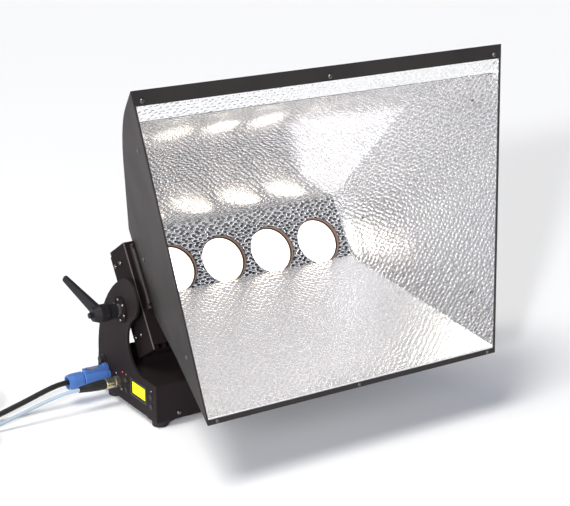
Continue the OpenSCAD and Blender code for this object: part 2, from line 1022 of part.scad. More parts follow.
button_sites = [[controls_at - button_offset, button_high], [controls_at - button_offset, button_low],
  [controls_at + button_offset, button_high], [controls_at + button_offset, button_low]];
lamp_sites = [[controls_at + button_offset + 13, 62.5], [controls_at + button_offset - 0.5, 62.5],
  [controls_at - button_offset - 1, 62.5]];
button_gap = 0.7;
lamp_r = 1.5;
fuse_at = power_at + fuse_offset;
fuse_z = power_z + fuse_rise;
fuse_r = 8;
fuse_rim = 0.8;
glass_rim = 1.5;

module side_plate_left() {
  color("#2a2624")
    difference() {
      plate_at(-base_half, side_t)
        side_plate_outline();
      pivot_holes(-1);
      on_panel(data_at, data_z)
        translate([0, 0, -2 * side_t])
          cylinder(d = socket_d, h = 3 * side_t);
      on_panel(power_at, power_z)
        translate([0, 0, -2 * side_t])
          cylinder(d = socket_d, h = 3 * side_t);
      on_panel(fuse_at, fuse_z)
        translate([0, 0, -2 * side_t])
          cylinder(r = fuse_r, h = 3 * side_t);
      at_socket_screws(data_at, data_z)
        translate([0, 0, -2 * side_t])
          cylinder(r = m3_d / 2 + screw_play, h = 3 * side_t);
      at_socket_screws(power_at, power_z)
        translate([0, 0, -2 * side_t])
          cylinder(r = m3_d / 2 + screw_play, h = 3 * side_t);
      for (p = button_sites)
        on_panel(p[0], p[1])
          translate([0, 0, -2 * side_t])
            cylinder(r = button_d / 2 + button_gap, h = 3 * side_t);
      for (p = lamp_sites)
        on_panel(p[0], p[1])
          translate([0, 0, -2 * side_t])
            cylinder(r = lamp_r + screw_play, h = 3 * side_t);
      on_panel(controls_at, display_z)
        translate([-display_h / 2 - glass_rim, -display_w / 2 - glass_rim, -2 * side_t])
          cube([display_h + 2 * glass_rim, display_w + 2 * glass_rim, 3 * side_t]);
    }
}

module side_plate_right() {
  color("#2a2624")
    difference() {
      plate_at(base_half - side_t, side_t)
        side_plate_outline();
      pivot_holes(1);
    }
}

// Base cover: front wall, flat top, concave sweep under the head, rear slope and rear wall
cover_curve = [pivot_y - cover_curve_reach, base_top + cover_curve_r];
cover_ridge = cover_curve + cover_curve_r * [sin(cover_turn), -cos(cover_turn)];
cover_corner = [base_rear, cover_rear_height];
cover_half = base_half - side_t - seat;
front_round_r = 5;

module cover_outer() {
  difference() {
    union() {
      polygon([[base_front, base_bottom], [base_front, base_top - front_round_r],
        [base_front + front_round_r, base_top], [cover_curve.x, base_top], cover_ridge,
        cover_corner, [base_rear, base_bottom]]);
      translate([base_front + front_round_r, base_top - front_round_r])
        circle(front_round_r);
    }
    translate(cover_curve)
      circle(cover_curve_r, $fn = 180);
  }
}

module cover_inner() {
  slope = unit(cover_ridge - cover_corner);
  inset = cover_t * away(slope);
  rear = base_rear - cover_t;
  a = cover_corner + inset;
  low_corner = crossing(a, a + slope, [rear, 0], [rear, 1]);
  difference() {
    polygon([[base_front + cover_t, base_bottom - cut], [base_front + cover_t, base_top - front_round_r],
      [base_front + front_round_r, base_top - cover_t], [cover_curve.x, base_top - cover_t],
      cover_ridge + inset + 6 * slope, low_corner, [rear, base_bottom - cut]]);
    translate(cover_curve)
      circle(cover_curve_r + cover_t, $fn = 180);
  }
}

cover_screw_x = base_half - 43;
cover_screw_z = base_bottom + 9.7;
cover_screw_length = 7;
vent_count = 22;
vent_pitch = 14;

// Places children at the cover's screws, z pointing out of the front or rear wall
module at_cover_screws() {
  for (x = [-cover_screw_x, cover_screw_x]) {
    translate([x, base_front, cover_screw_z])
      rotate([90, 0, 0])
        children();
    translate([x, base_rear, cover_screw_z])
      rotate([-90, 0, 0])
        children();
  }
}

module base_cover() {
  vent_h = 26;
  vent_w = 4;
  vent_low = 28;
  color("#2a2423")
    difference() {
      plate_at(-cover_half, 2 * cover_half)
        difference() {
          cover_outer();
          cover_inner();
        }
      at_cover_screws()
        translate([0, 0, -cover_screw_length])
          cylinder(r = m4_d / 2 + screw_play, h = 2 * cover_screw_length);
      for (i = [0 : vent_count - 1])
        translate([(i - (vent_count - 1) / 2) * vent_pitch - vent_w / 2, base_rear - 2 * cover_t, vent_low])
          cube([vent_w, 3 * cover_t, vent_h]);
    }
}

// Bottom tray with upturned edges that the cover and side plates are fixed to
pan_t = 2;
pan_lip = 13.5;
pan_front = base_front + cover_t + seat;
pan_rear = base_rear - cover_t - seat;
foot_x = base_half - foot_d / 2 - 0.5;
foot_front = base_front + foot_d / 2 + 1;
foot_rear = base_rear - foot_d / 2 - 31;

// Places children at the four feet, and tells them which way is inward
module at_feet() {
  for (side = [-1, 1], end = [-1, 1]) {
    $inward = [-side, -end];
    translate([side * foot_x, end < 0 ? foot_front : foot_rear, 0])
      children();
  }
}

module base_pan() {
  color("#242020")
    difference() {
      union() {
        translate([-cover_half, pan_front, base_bottom])
          cube([2 * cover_half, pan_rear - pan_front, pan_t]);
        for (y = [pan_front, pan_rear - pan_t])
          translate([-cover_half, y, base_bottom])
            cube([2 * cover_half, pan_t, pan_lip]);
        for (x = [-cover_half, cover_half - pan_t])
          translate([x, pan_front, base_bottom])
            cube([pan_t, pan_rear - pan_front, pan_lip]);
      }
      at_feet()
        cylinder(r = m4_d / 2 + screw_play, h = 3 * foot_h);
      at_cover_screws()
        translate([0, 0, -2 * cover_screw_length])
          cylinder(r = m4_d / 2 + screw_play, h = 3 * cover_screw_length);
    }
}

foot_flange_t = 2.2;
foot_flange_w = 34;
foot_recess_d = 10;
foot_recess_h = 5;

// Where a foot's flange starts, so that it runs inward from the foot's outer side
function flange_from(inward) = inward > 0 ? -foot_d / 2 : foot_d / 2 - foot_flange_w;

// Moulded feet, each at the outer corner of its thin square flange under the base
module rubber_feet() {
  edge = 0.8;
  color("#171514")
    at_feet()
      difference() {
        union() {
          rotate_extrude()
            polygon([[0, 0], [foot_d / 2 - edge, 0], [foot_d / 2, edge],
              [foot_d / 2, foot_h - foot_flange_t / 2], [0, foot_h - foot_flange_t / 2]]);
          translate([flange_from($inward.x), flange_from($inward.y), foot_h - foot_flange_t])
            cube([foot_flange_w, foot_flange_w, foot_flange_t]);
        }
        translate([0, 0, -cut])
          cylinder(d = foot_recess_d, h = foot_recess_h + cut);
        cylinder(r = m4_d / 2 + screw_play, h = foot_h + cut);
      }
}

// Screws of the case: through the feet from below and through the cover's front and rear
module case_screws() {
  color("#7f7b76") {
    at_feet()
      translate([0, 0, foot_recess_h])
        mirror([0, 0, 1])
          m4_screw(10);
    at_cover_screws()
      m4_screw(cover_screw_length);
  }
}

// Small screws of the side plates: round the pivots and at the sockets' corners
module panel_screws() {
  color("#8b8782") {
    for (side = [-1, 1])
      on_pivot(side)
        translate([0, 0, base_half + flange_t])
          at_flange_screws()
            m3_screw(flange_t + side_t);
    at_socket_screws(data_at, data_z)
      m3_screw(side_t + socket_flange_t);
    at_socket_screws(power_at, power_z)
      m3_screw(side_t + socket_flange_t);
  }
}

inner_side = 60;
inner_front = 32;

// Power supply with its terminal block on the left
module power_supply() {
  terminal_l = 14;
  terminal_h = 16;
  color("#9a9c9e")
    translate([cover_half - inner_side - supply_l, pan_front + inner_front, base_bottom + pan_t]) {
      cube([supply_l, supply_w, supply_h]);
      translate([-terminal_l, terminal_l / 2, 0])
        cube([2 * terminal_l, supply_w - terminal_l, terminal_h]);
    }
}

// Driver board on four posts, with four capacitors and its coils
module driver_board() {
  post_h = 8;
  post_d = 6;
  part_d = 16;
  part_h = 18;
  coil_w = 28;
  coil_h = 14;
  color("#1f5a38")
    translate([-cover_half + inner_side, pan_front + inner_front, base_bottom + pan_t]) {
      translate([0, 0, post_h])
        cube([driver_l, driver_w, board_t]);
      for (x = [post_d, driver_l - post_d])
        for (y = [post_d, driver_w - post_d])
          translate([x, y, 0])
            cylinder(d = post_d, h = post_h + board_t / 2);
      for (i = [0 : 3])
        translate([(i + 0.5) * driver_l / 4, driver_w / 3, post_h + board_t / 2])
          cylinder(d = part_d, h = part_h);
      translate([2 * post_d, driver_w / 3 + part_d, post_h + board_t / 2])
        cube([driver_l - 4 * post_d, coil_w, coil_h]);
    }
}

module_t = 8;
plate_in = -side_t;
switch_h = 4;

// Display behind its window, with a block that fills the window flush
module display_module() {
  color("#d8e01e")
    on_panel(controls_at, display_z) {
      translate([-17, -31, plate_in - module_t])
        cube([34, 62, module_t - seat]);
      translate([-display_h / 2 - glass_rim + seat, -display_w / 2 - glass_rim + seat, plate_in - 2 * seat])
        cube([display_h + 2 * glass_rim - 2 * seat, display_w + 2 * glass_rim - 2 * seat,
          side_t + seat]);
    }
}

// Circuit board behind the display, with a switch under each button
module control_board() {
  board_l = 116;
  board_h = 34;
  low = plate_in - module_t - board_t - seat;
  color("#1f5a38")
    on_panel(controls_at, display_z) {
      translate([-board_h / 2 - 1.5, -board_l / 2, low])
        cube([board_h, board_l, board_t]);
      for (p = button_sites)
        translate([p[1] - display_z, p[0] - controls_at, low + board_t / 2])
          cylinder(d = 6, h = switch_h + board_t / 2);
      for (y = [-board_l / 2 + 5, board_l / 2 - 5])
        translate([-4.5, y, low + board_t / 2])
          cylinder(d = 4, h = module_t + board_t / 2);
    }
}

socket_flange_t = 2;

// Panel socket: flange behind the plate, body behind it and a short nose in the hole
module panel_socket(at, z, body_l) {
  on_panel(at, z) {
    difference() {
      translate([-15.5, -13, plate_in - socket_flange_t])
        cube([31, 26, socket_flange_t]);
      for (s = [-1, 1])
        translate([-s * 12, -s * 9.5, plate_in - socket_flange_t - cut])
          cylinder(r = m3_d / 2 + screw_play, h = socket_flange_t + 2 * cut);
    }
    rotate_extrude()
      polygon([[0, plate_in - body_l], [socket_d / 2 - 1, plate_in - body_l], [socket_d / 2 - 1, plate_in],
        [socket_d / 2 - seat, plate_in], [socket_d / 2 - seat, 0], [0, 0]]);
  }
}

module power_inlet() {
  color("#20242c")
    panel_socket(power_at, power_z, 24);
}

module data_socket() {
  color("#1c1b1b")
    panel_socket(data_at, data_z, 22);
}

module fuse_holder() {
  cap_h = 7;
  slot_w = 1.4;
  slot_h = 1.5;
  bezel_t = 1.6;
  body_l = 16;
  top = bezel_t + cap_h;
  color("#2a1f1e")
    on_panel(fuse_at, fuse_z)
      difference() {
        rotate_extrude()
          polygon([[0, plate_in - body_l], [fuse_r - 2, plate_in - body_l], [fuse_r - 2, plate_in],
            [fuse_r - seat, plate_in], [fuse_r - seat, 0], [fuse_r + fuse_rim, 0],
            [fuse_r + fuse_rim, bezel_t], [fuse_r - 1, bezel_t], [fuse_r - 1.8, top], [0, top]]);
        translate([-fuse_r, -slot_w / 2, top - slot_h])
          cube([2 * fuse_r, slot_w, slot_h + cut]);
      }
}

// Small panel lamp with a domed tip and a collar behind the plate
module panel_lamp(i) {
  collar = 0.6;
  on_panel(lamp_sites[i][0], lamp_sites[i][1])
    rotate_extrude()
      polygon([[0, plate_in - 3], [lamp_r + collar, plate_in - 3], [lamp_r + collar, plate_in - seat],
        [lamp_r, plate_in - seat], [lamp_r, 0], [lamp_r * 0.8, lamp_r * 0.5], [lamp_r * 0.4, lamp_r * 0.8],
        [0, lamp_r * 0.85]]);
}

module signal_lamp() {
  color("#e02a2a")
    panel_lamp(0);
}

module status_lamps() {
  color("#8f8f90")
    for (i = [1, 2])
      panel_lamp(i);
}

// A push button: cap in the plate's hole, keeper flange behind the plate and a stem
module push_button(i) {
  proud = 1.4;
  edge = 0.5;
  keeper_t = 1;
  keeper_r = button_d / 2 + button_gap + 1;
  keeper_z = plate_in - seat - keeper_t;
  stem_l = 1.5;
  stem_r = 2;
  color("#171616")
    on_panel(button_sites[i][0], button_sites[i][1])
      rotate_extrude()
        polygon([[0, keeper_z - stem_l], [stem_r, keeper_z - stem_l],
          [stem_r, keeper_z], [keeper_r, keeper_z],
          [keeper_r, keeper_z + keeper_t], [button_d / 2, keeper_z + keeper_t],
          [button_d / 2, proud - edge], [button_d / 2 - edge, proud], [0, proud]]);
}

// Tilt hardware
module pivot_flanges() {
  color("#1e1b1a")
    for (side = [-1, 1])
      on_pivot(side)
        translate([0, 0, base_half])
          difference() {
            cylinder(d = flange_d, h = flange_t);
            translate([0, 0, -cut])
              cylinder(r = stud_d / 2 + running, h = flange_t + 2 * cut);
            at_flange_screws()
              translate([0, 0, -cut])
                cylinder(r = m3_d / 2 + screw_play, h = flange_t + 2 * cut);
          }
}

module friction_discs() {
  from = end_x + disc_gap;
  to = base_half - side_t;
  color("#4a4541")
    for (side = [-1, 1])
      on_pivot(side)
        translate([0, 0, from])
          difference() {
            cylinder(d = flange_d, h = to - from);
            translate([0, 0, -cut])
              cylinder(r = stud_d / 2 + running, h = to - from + 2 * cut);
            at_flange_screws()
              translate([0, 0, to - from - 3])
                cylinder(r = m3_d / 2 + screw_play, h = far);
          }
}

core_l = 24;
core_gap = 0.3;
core_start = base_half + flange_t + core_gap;
core_foot = 7;

// Threaded stud that the lever is tightened on, drawn without its thread
module pivot_stud() {
  from = sink_x - sink_wall_t;
  to = core_start + core_l - 2;
  color("#b9b9b8")
    on_pivot(-1)
      translate([0, 0, from])
        cylinder(d = stud_d, h = to - from);
}

module pivot_bolt() {
  from = sink_x - sink_wall_t;
  to = base_half + flange_t + core_gap;
  head_h = 7.5;
  color("#b9b9b8")
    on_pivot(1)
      difference() {
        rotate_extrude()
          polygon([[0, from], [stud_d / 2, from], [stud_d / 2, to], [0.75 * stud_d, to],
            [0.75 * stud_d, to + head_h], [0, to + head_h]]);
        translate([0, 0, to + head_h / 2])
          cylinder(d = stud_d * 0.96, h = head_h, $fn = 6);
      }
}

// Steel core of the lever: a foot that bears on the flange and a spigot in the hub
module lever_core() {
  spigot_r = stud_d / 2 + 2;
  color("#6f6c69")
    on_pivot(-1)
      translate([0, 0, core_start])
        difference() {
          union() {
            cylinder(r = spigot_r + 3, h = core_foot);
            cylinder(r = spigot_r, h = core_l);
          }
          translate([0, 0, -cut])
            cylinder(r = stud_d / 2 + running, h = core_l + 2 * cut);
        }
}

hub_start = core_start + core_foot;
hub_end = base_half + lever_height;
release_end = hub_end + 7;
release_start = hub_end - 9;

// Hub and leaning arm of the clamping lever
module clamp_lever() {
  spigot_r = stud_d / 2 + 2;
  hub_l = hub_end - hub_start;
  neck = hub_l * 0.3;
  shoulder = hub_l * 0.72;
  color("#24262a")
    on_pivot(-1)
      difference() {
        union() {
          translate([0, 0, hub_start])
            rotate_extrude()
              polygon([[0, 0], [hub_d / 2 - 3.5, 0], [hub_d / 2 - 2.5, neck], [hub_d / 2 - 0.5, neck + 4],
                [hub_d / 2, shoulder], [hub_d / 2 - 5, hub_l], [0, hub_l]]);
          lever_arm();
        }
        translate([0, 0, hub_start - cut])
          cylinder(r = spigot_r + running, h = core_start + core_l - hub_start + cut + 0.5);
        translate([0, 0, release_start - release_travel - 1])
          cylinder(r = release_d / 2 + seat, h = far);
        translate([0, 0, release_start - release_travel - 1])
          cylinder(r = release_d / 2 + 1.5, h = release_travel + 3);
      }
}

// The arm, from the hub's axis out to its tip: wide at the root, with a ridge along its outer face
module lever_arm() {
  root_t = 13;
  tip_t = 7;
  tip_round = 2;
  root_z = hub_start + (hub_end - hub_start) * 0.78;
  translate([0, 0, root_z])
    rotate([0, 0, -arm_angle])
      rotate([arm_lean, 0, 0])
        hull() {
          arm_section(0, arm_root_w, root_t);
          arm_section(arm_len - tip_round, arm_tip_w, tip_t);
          arm_section(arm_len, arm_tip_w - tip_round, tip_t - tip_round);
        }
}

// A thin slice of the arm at a distance from the axis: flat below, roofed above
module arm_section(at, w, t) {
  translate([0, at, -t * 0.6])
    rotate([90, 0, 0])
      linear_extrude(0.1)
        polygon([[-w / 2, 0], [w / 2, 0], [w / 2, t * 0.6], [w * 0.2, t], [-w * 0.2, t], [-w / 2, t * 0.6]]);
}

module release_button() {
  rim = 1.2;
  rim_t = 1.4;
  edge = 1;
  color("#2d3036")
    on_pivot(-1)
      rotate_extrude()
        polygon([[0, release_start], [release_d / 2 + rim, release_start],
          [release_d / 2 + rim, release_start + rim_t], [release_d / 2, release_start + rim_t],
          [release_d / 2, release_end - edge], [release_d / 2 - edge, release_end], [0, release_end]]);
}

// Plugs in the panel
plug_l = 79;
plug_r = 12.8;
collar_r = 14.3;
collar_from = 50;
housing_w = 15;
housing_h = 16.6;
housing_from = 2.2;
lead_recess = 5;
latch_w = 9;
latch_l = 20;
latch_t = 1.6;
latch_from = 21;
latch_travel = 4;
latch_floor = housing_h - latch_t;

// Locking plug: round body, the latch's flat housing on top and a fat collar that is open round the lead
module power_plug() {
  key_w = 10;
  key_l = 7;
  key_h = 3;
  mouth_r = 9.5;
  color("#3f6fce")
    on_panel(power_at, power_z)
      difference() {
        union() {
          rotate_extrude()
            polygon([[0, seat], [11, seat], [11, 5], [plug_r, 6], [plug_r, collar_from - 2],
              [plug_r - 0.8, collar_from - 1], [plug_r - 0.8, collar_from], [collar_r, collar_from + 2],
              [collar_r, plug_l - 9], [collar_r - 1.6, plug_l], [mouth_r, plug_l],
              [mouth_r, plug_l - lead_recess], [0, plug_l - lead_recess]]);
          translate([0, -housing_w / 2, housing_from])
            cube([housing_h, housing_w, collar_from - 3 - housing_from]);
          translate([0, -key_w / 2, housing_from])
            cube([housing_h + key_h, key_w, key_l]);
        }
        translate([latch_floor, -latch_w / 2 - seat, latch_from - seat])
          cube([housing_h, latch_w + 2 * seat, latch_l + latch_travel + 2 * seat]);
      }
}

// Sliding metal latch in the housing's groove, with a thumb edge at its outer end
module power_plug_latch() {
  thumb_l = 3;
  thumb_h = 1.4;
  color("#c3c6c8")
    on_panel(power_at, power_z) {
      translate([latch_floor + seat, -latch_w / 2, latch_from])
        cube([latch_t, latch_w, latch_l]);
      translate([latch_floor + seat, -latch_w / 2, latch_from + latch_l - thumb_l])
        cube([latch_t + thumb_h, latch_w, thumb_l]);
    }
}

shell_l = 27;
shell_d = 19;
data_plug_l = 77;

module data_plug_shell() {
  color("#b7b4ae")
    on_panel(data_at, data_z)
      rotate_extrude()
        polygon([[0, seat], [shell_d / 2 - 0.5, seat], [shell_d / 2, 1], [shell_d / 2, 9],
          [shell_d / 2 - 0.6, 9.6], [shell_d / 2 - 0.6, 12], [shell_d / 2, 12.6],
          [shell_d / 2, shell_l - 1], [shell_d / 2 - 1, shell_l], [0, shell_l]]);
}

module data_plug_boot() {
  color("#1a1919")
    on_panel(data_at, data_z)
      rotate_extrude()
        polygon([[0, shell_l], [8.4, shell_l], [9, shell_l + 3], [8.8, shell_l + 14],
          [7.4, shell_l + 30], [5.6, data_plug_l - 6], [5, data_plug_l], [0, data_plug_l]]);
}

// Cords: each is a tube along route points, and each coil winds in and out again in two layers
tie_t = 1.2;
function side_of(t) = unit(cross(t, [0, 0, 1]));
function path_dir(p, i) = unit(p[min(i + 1, len(p) - 1)] - p[max(i - 1, 0)]);

module tube(path, r, sides) {
  n = len(path);
  points = [for (i = [0 : n - 1])
    let (t = path_dir(path, i), s = side_of(t), u = cross(s, t))
    for (k = [0 : sides - 1])
      path[i] + r * (cos(360 * k / sides) * s + sin(360 * k / sides) * u)];
  walls = [for (i = [0 : n - 2]) for (k = [0 : sides - 1])
    let (a = i * sides + k, b = i * sides + (k + 1) % sides)
    for (f = [[a, b, b + sides], [a, b + sides, a + sides]])
      f];
  ends = [[for (k = [sides - 1 : -1 : 0]) k], [for (k = [0 : sides - 1]) (n - 1) * sides + k]];
  polyhedron(points = points, faces = concat(walls, ends));
}

// Coil: centre, outer radius, diameter of cord, turns, turning direction and start angle
function coil_z(c, turn) =
  let (s = max(0, min(1, (turn - c[3] / 2) * 2 + 0.5)))
  c[2] / 2 + tie_t + seat + (c[2] + 0.5) * s;
function coil_r(c, turn) = c[1] - (c[2] + 0.5) * min(turn, c[3] - turn);
function coil_point(c, turn) =
  let (a = c[5] + c[4] * 360 * turn, r = coil_r(c, turn))
  [c[0].x + r * cos(a), c[0].y + r * sin(a), coil_z(c, turn)];
coil_steps = 24;
function coil_path(c) = [for (i = [0 : c[3] * coil_steps]) coil_point(c, i / coil_steps)];
function least_gap(path, d) =
  min([for (i = [0 : len(path) - 1]) for (j = [i + coil_steps / 2 : 1 : len(path) - 1])
    norm(path[i] - path[j])]) - d;
function path_length(path) = total([for (i = [1 : len(path) - 1]) norm(path[i] - path[i - 1])]);
function total(v) = v * [for (x = v) 1];

plug_end = [-base_half - plug_l + lead_recess, base_front + power_at, power_z];
boot_end = [-base_half - data_plug_l, base_front + data_at, data_z];
lead_coil_r = 62;
data_coil_r = 46.7;
lead_coil = [[-510, plug_end.y + lead_coil_r], lead_coil_r, lead_d, 5, -1, -90];
data_coil = [[-555, boot_end.y - data_coil_r], data_coil_r, data_d, 5, 1, 90];
mains_plug_r = 18.4;
far_plug_r = 9.5;
lead_meets = coil_point(lead_coil, 0) + [lead_d, 0, 0];
data_meets = coil_point(data_coil, 0) + [data_d, 0, 0];
lead_tail = coil_point(lead_coil, lead_coil[3]);
data_tail = coil_point(data_coil, data_coil[3]);
lead_tail_end = [-562, lead_tail.y, mains_plug_r];
data_tail_end = [-622, data_tail.y, far_plug_r];

lead_route = [plug_end, [-332, plug_end.y, power_z], [-346, 187, 39.6], [-362, 187, 36], [-378, 187, 31.6],
  [-396, 187, 26.4], [-414, 187, 21.4], [-432, 187, 16.6], [-450, 187, 12], [-466, 187, 8.6],
  [-482, 187.2, 6.6], lead_meets + [2, 0, 0], lead_meets];
data_route = [boot_end, [-328, boot_end.y, data_z], [-342, 146, 41], [-358, 146, 38.6], [-374, 146, 35.6],
  [-390, 146, 32], [-408, 146, 27.6], [-426, 146, 23], [-444, 146, 18.4], [-462, 146, 13.8],
  [-480, 146, 9.8], [-498, 146, 6.8], [-516, 146, 5.2], [-533, 146.2, 4.7],
  data_meets + [2, 0, 0], data_meets];

module power_lead() {
  color("#151413")
    tube(lead_route, lead_d / 2, 12);
}

module power_lead_coil() {
  wound = concat([lead_meets], coil_path(lead_coil), [lead_tail - [14, 0, -0.4],
    lead_tail_end + [24, 0, -0.5], lead_tail_end + [lead_d, 0, 0], lead_tail_end]);
  color("#151413")
    tube(wound, lead_d / 2, 6);
  echo("power lead's coil, least gap to itself", least_gap(coil_path(lead_coil), lead_d));
  echo("power lead, length in all", path_length(lead_route) + path_length(wound));
}

module data_cable() {
  color("#b4c2cc")
    tube(data_route, data_d / 2, 12);
}

module data_cable_coil() {
  wound = concat([data_meets], coil_path(data_coil), [data_tail - [16, 0, 0.2],
    data_tail - [34, 0, 1.3], data_tail_end + [16, 0, 0], data_tail_end + [data_d, 0, 0], data_tail_end]);
  color("#b4c2cc")
    tube(wound, data_d / 2, 6);
  echo("data cable's coil, least gap to itself", least_gap(coil_path(data_coil), data_d));
  echo("data cable, length in all", path_length(data_route) + path_length(wound));
}

// Mains plug with a tapered strain relief and two pins
module mains_plug() {
  color("#1a1918")
    translate(lead_tail_end)
      rotate([0, -90, 0]) {
        rotate_extrude()
          polygon([[0, 0], [6.2, 0], [7.6, 30], [13, 36], [17.9, 44],
            [mains_plug_r, 66], [17.6, 72], [0, 72]]);
        for (y = [-9.5, 9.5])
          translate([0, y, 60])
            cylinder(d = 4.8, h = 31);
      }
}

module data_far_plug() {
  boot_l = 46;
  color("#b7b4ae")
    translate(data_tail_end)
      rotate([0, -90, 0])
        difference() {
          rotate_extrude()
            polygon([[0, 0], [4.6, 0], [5.4, 6], [7.6, 24], [8.8, boot_l - 6],
              [far_plug_r, boot_l], [far_plug_r, 72], [0, 72]]);
          translate([0, 0, 60])
            cylinder(r = 8.2, h = 20);
        }
}

// One flat tie round each coil, lying across its turns
module coil_ties() {
  color("#222120") {
    coil_tie(lead_coil, 90);
    coil_tie(data_coil, 270);
  }
}

module coil_tie(c, at) {
  w = 12;
  low = c[1] - (c[2] + 0.5) * c[3] / 2 - c[2] / 2 - seat;
  high = c[1] + c[2] / 2 + seat;
  top = tie_t + 2 * seat + 2 * c[2] + 0.5;
  translate([c[0].x, c[0].y, 0])
    rotate(at)
      difference() {
        translate([low - tie_t, -w / 2, 0])
          cube([high - low + 2 * tie_t, w, top + tie_t]);
        translate([low, -w, tie_t])
          cube([high - low, 2 * w, top - tie_t]);
      }
}

base_pan();
base_cover();
side_plate_left();
side_plate_right();
rubber_feet();
case_screws();
panel_screws();
power_supply();
driver_board();
control_board();
display_module();
power_inlet();
data_socket();
fuse_holder();
signal_lamp();
status_lamps();
pivot_flanges();
friction_discs();
push_button(0);  // button_up
push_button(1);  // button_enter
push_button(2);  // button_menu
push_button(3);  // button_down
heat_sink();
end_plate(-1);  // end_plate_left
end_plate(1);  // end_plate_right
head_screws();
lamp_plate();
led_modules();
mixing_cups();
diffuser_discs();
window_rings();
hood_rails();
pivot_stud();
pivot_bolt();
hood_side(-1);  // hood_side_left
hood_side(1);  // hood_side_right
hood_top_skin();
hood_bottom_skin();
top_flange();
bottom_flange();
reflector_top();
reflector_bottom();
reflector_side(-1);  // reflector_left
reflector_side(1);  // reflector_right
reflector_strip();
reflector_lip();
clamp_lever();
lever_core();
release_button();
power_plug();
power_plug_latch();
data_plug_shell();
data_plug_boot();
power_lead();
power_lead_coil();
mains_plug();
data_cable();
data_cable_coil();
data_far_plug();
coil_ties();
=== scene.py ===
import json
import math

import bmesh
import bpy
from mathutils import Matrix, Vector


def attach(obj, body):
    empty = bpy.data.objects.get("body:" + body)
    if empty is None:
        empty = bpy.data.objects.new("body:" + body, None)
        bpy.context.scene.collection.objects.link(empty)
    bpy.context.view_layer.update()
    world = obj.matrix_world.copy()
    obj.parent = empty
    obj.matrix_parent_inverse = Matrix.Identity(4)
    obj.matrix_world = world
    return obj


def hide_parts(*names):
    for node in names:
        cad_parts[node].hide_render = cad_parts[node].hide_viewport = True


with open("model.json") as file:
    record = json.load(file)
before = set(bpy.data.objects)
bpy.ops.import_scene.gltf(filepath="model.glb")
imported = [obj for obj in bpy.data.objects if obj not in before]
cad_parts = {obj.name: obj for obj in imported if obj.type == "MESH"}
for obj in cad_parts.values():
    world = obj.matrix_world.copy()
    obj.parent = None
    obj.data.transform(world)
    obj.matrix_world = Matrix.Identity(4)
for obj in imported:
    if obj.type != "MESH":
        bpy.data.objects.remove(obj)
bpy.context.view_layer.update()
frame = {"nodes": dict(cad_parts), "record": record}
nodes = frame["nodes"]
scene = bpy.context.scene
scene.view_settings.view_transform = "Standard"

MM = 0.001

# Camera, from the photograph's viewing angle: metres, and the lens in millimetres
CAMERA_AT = Vector((-1.4033, -2.1800, 1.1049))
CAMERA_AIM = Vector((0.0, -0.0096, 0.27446))
CAMERA_LENS = 101.06
CAMERA_SENSOR = 36.0

camera_data = bpy.data.cameras.new("camera")
camera_data.lens = CAMERA_LENS
camera_data.sensor_width = CAMERA_SENSOR
camera = bpy.data.objects.new("camera", camera_data)
camera.location = CAMERA_AT
camera.rotation_euler = (CAMERA_AIM - CAMERA_AT).to_track_quat("-Z", "Y").to_euler()
scene.collection.objects.link(camera)
scene.camera = camera


# Node helpers
def new_material(name):
    """A material with an empty node tree but its output and one Principled shader."""
    material = bpy.data.materials.new(name)
    material.use_nodes = True
    tree = material.node_tree
    tree.nodes.clear()
    out = tree.nodes.new("ShaderNodeOutputMaterial")
    shader = tree.nodes.new("ShaderNodeBsdfPrincipled")
    tree.links.new(shader.outputs[0], out.inputs["Surface"])
    return material, tree, shader


def add(tree, kind, **values):
    """A new node; keys that name a socket set its value, the others set a property."""
    node = tree.nodes.new(kind)
    for key, value in values.items():
        if hasattr(node, key):
            setattr(node, key, value)
        else:
            node.inputs[key.replace("_", " ")].default_value = value
    return node


def link(tree, a, out, b, into):
    tree.links.new(a.outputs[out], b.inputs[into])


def object_space(tree):
    """The piece's own coordinates, in metres, as a node's Vector."""
    place = add(tree, "ShaderNodeTexCoord")
    mapping = add(tree, "ShaderNodeMapping")
    link(tree, place, "Object", mapping, "Vector")
    return mapping


def noise(tree, space, scale, detail=4.0, rough=0.5):
    """A noise over a node's Vector, scale times to the metre or cell."""
    node = add(tree, "ShaderNodeTexNoise", Scale=scale, Detail=detail, Roughness=rough)
    link(tree, space, "Vector", node, "Vector")
    return node


def ramp(tree, source, out, stops):
    """A colour ramp over a node's output: stops are (place, colour)."""
    node = add(tree, "ShaderNodeValToRGB")
    elements = node.color_ramp.elements
    while len(elements) < len(stops):
        elements.new(0.5)
    for element, (place, colour) in zip(elements, stops):
        element.position = place
        element.color = (*colour, 1.0)
    link(tree, source, out, node, "Fac")
    return node


def bump(tree, shader, height, out, distance):
    """Relief from a node's output, as high as distance, in metres."""
    node = add(tree, "ShaderNodeBump", Strength=1.0, Distance=distance)
    link(tree, height, out, node, "Height")
    link(tree, node, "Normal", shader, "Normal")
    return node


def grey(value):
    return (value, value, value)


def shader_of(material):
    """A material's Principled shader."""
    return next(node for node in material.node_tree.nodes if node.type == "BSDF_PRINCIPLED")


# The sockets of a Mix node that holds colours
MIX_A = 6
MIX_B = 7
MIX_OUT = 2


def mix(tree, factor, out):
    """A colour mix, steered by a node's output."""
    node = add(tree, "ShaderNodeMix", data_type="RGBA")
    link(tree, factor, out, node, 0)
    return node


# The head's forward and upward ways in the photographed pose, and the plain axes
TILT = 32.0
HEAD_F = (0.0, -math.cos(math.radians(TILT)), math.sin(math.radians(TILT)))
HEAD_H = (0.0, math.sin(math.radians(TILT)), math.cos(math.radians(TILT)))
ACROSS = (1.0, 0.0, 0.0)
BACK = (0.0, 1.0, 0.0)
UP = (0.0, 0.0, 1.0)

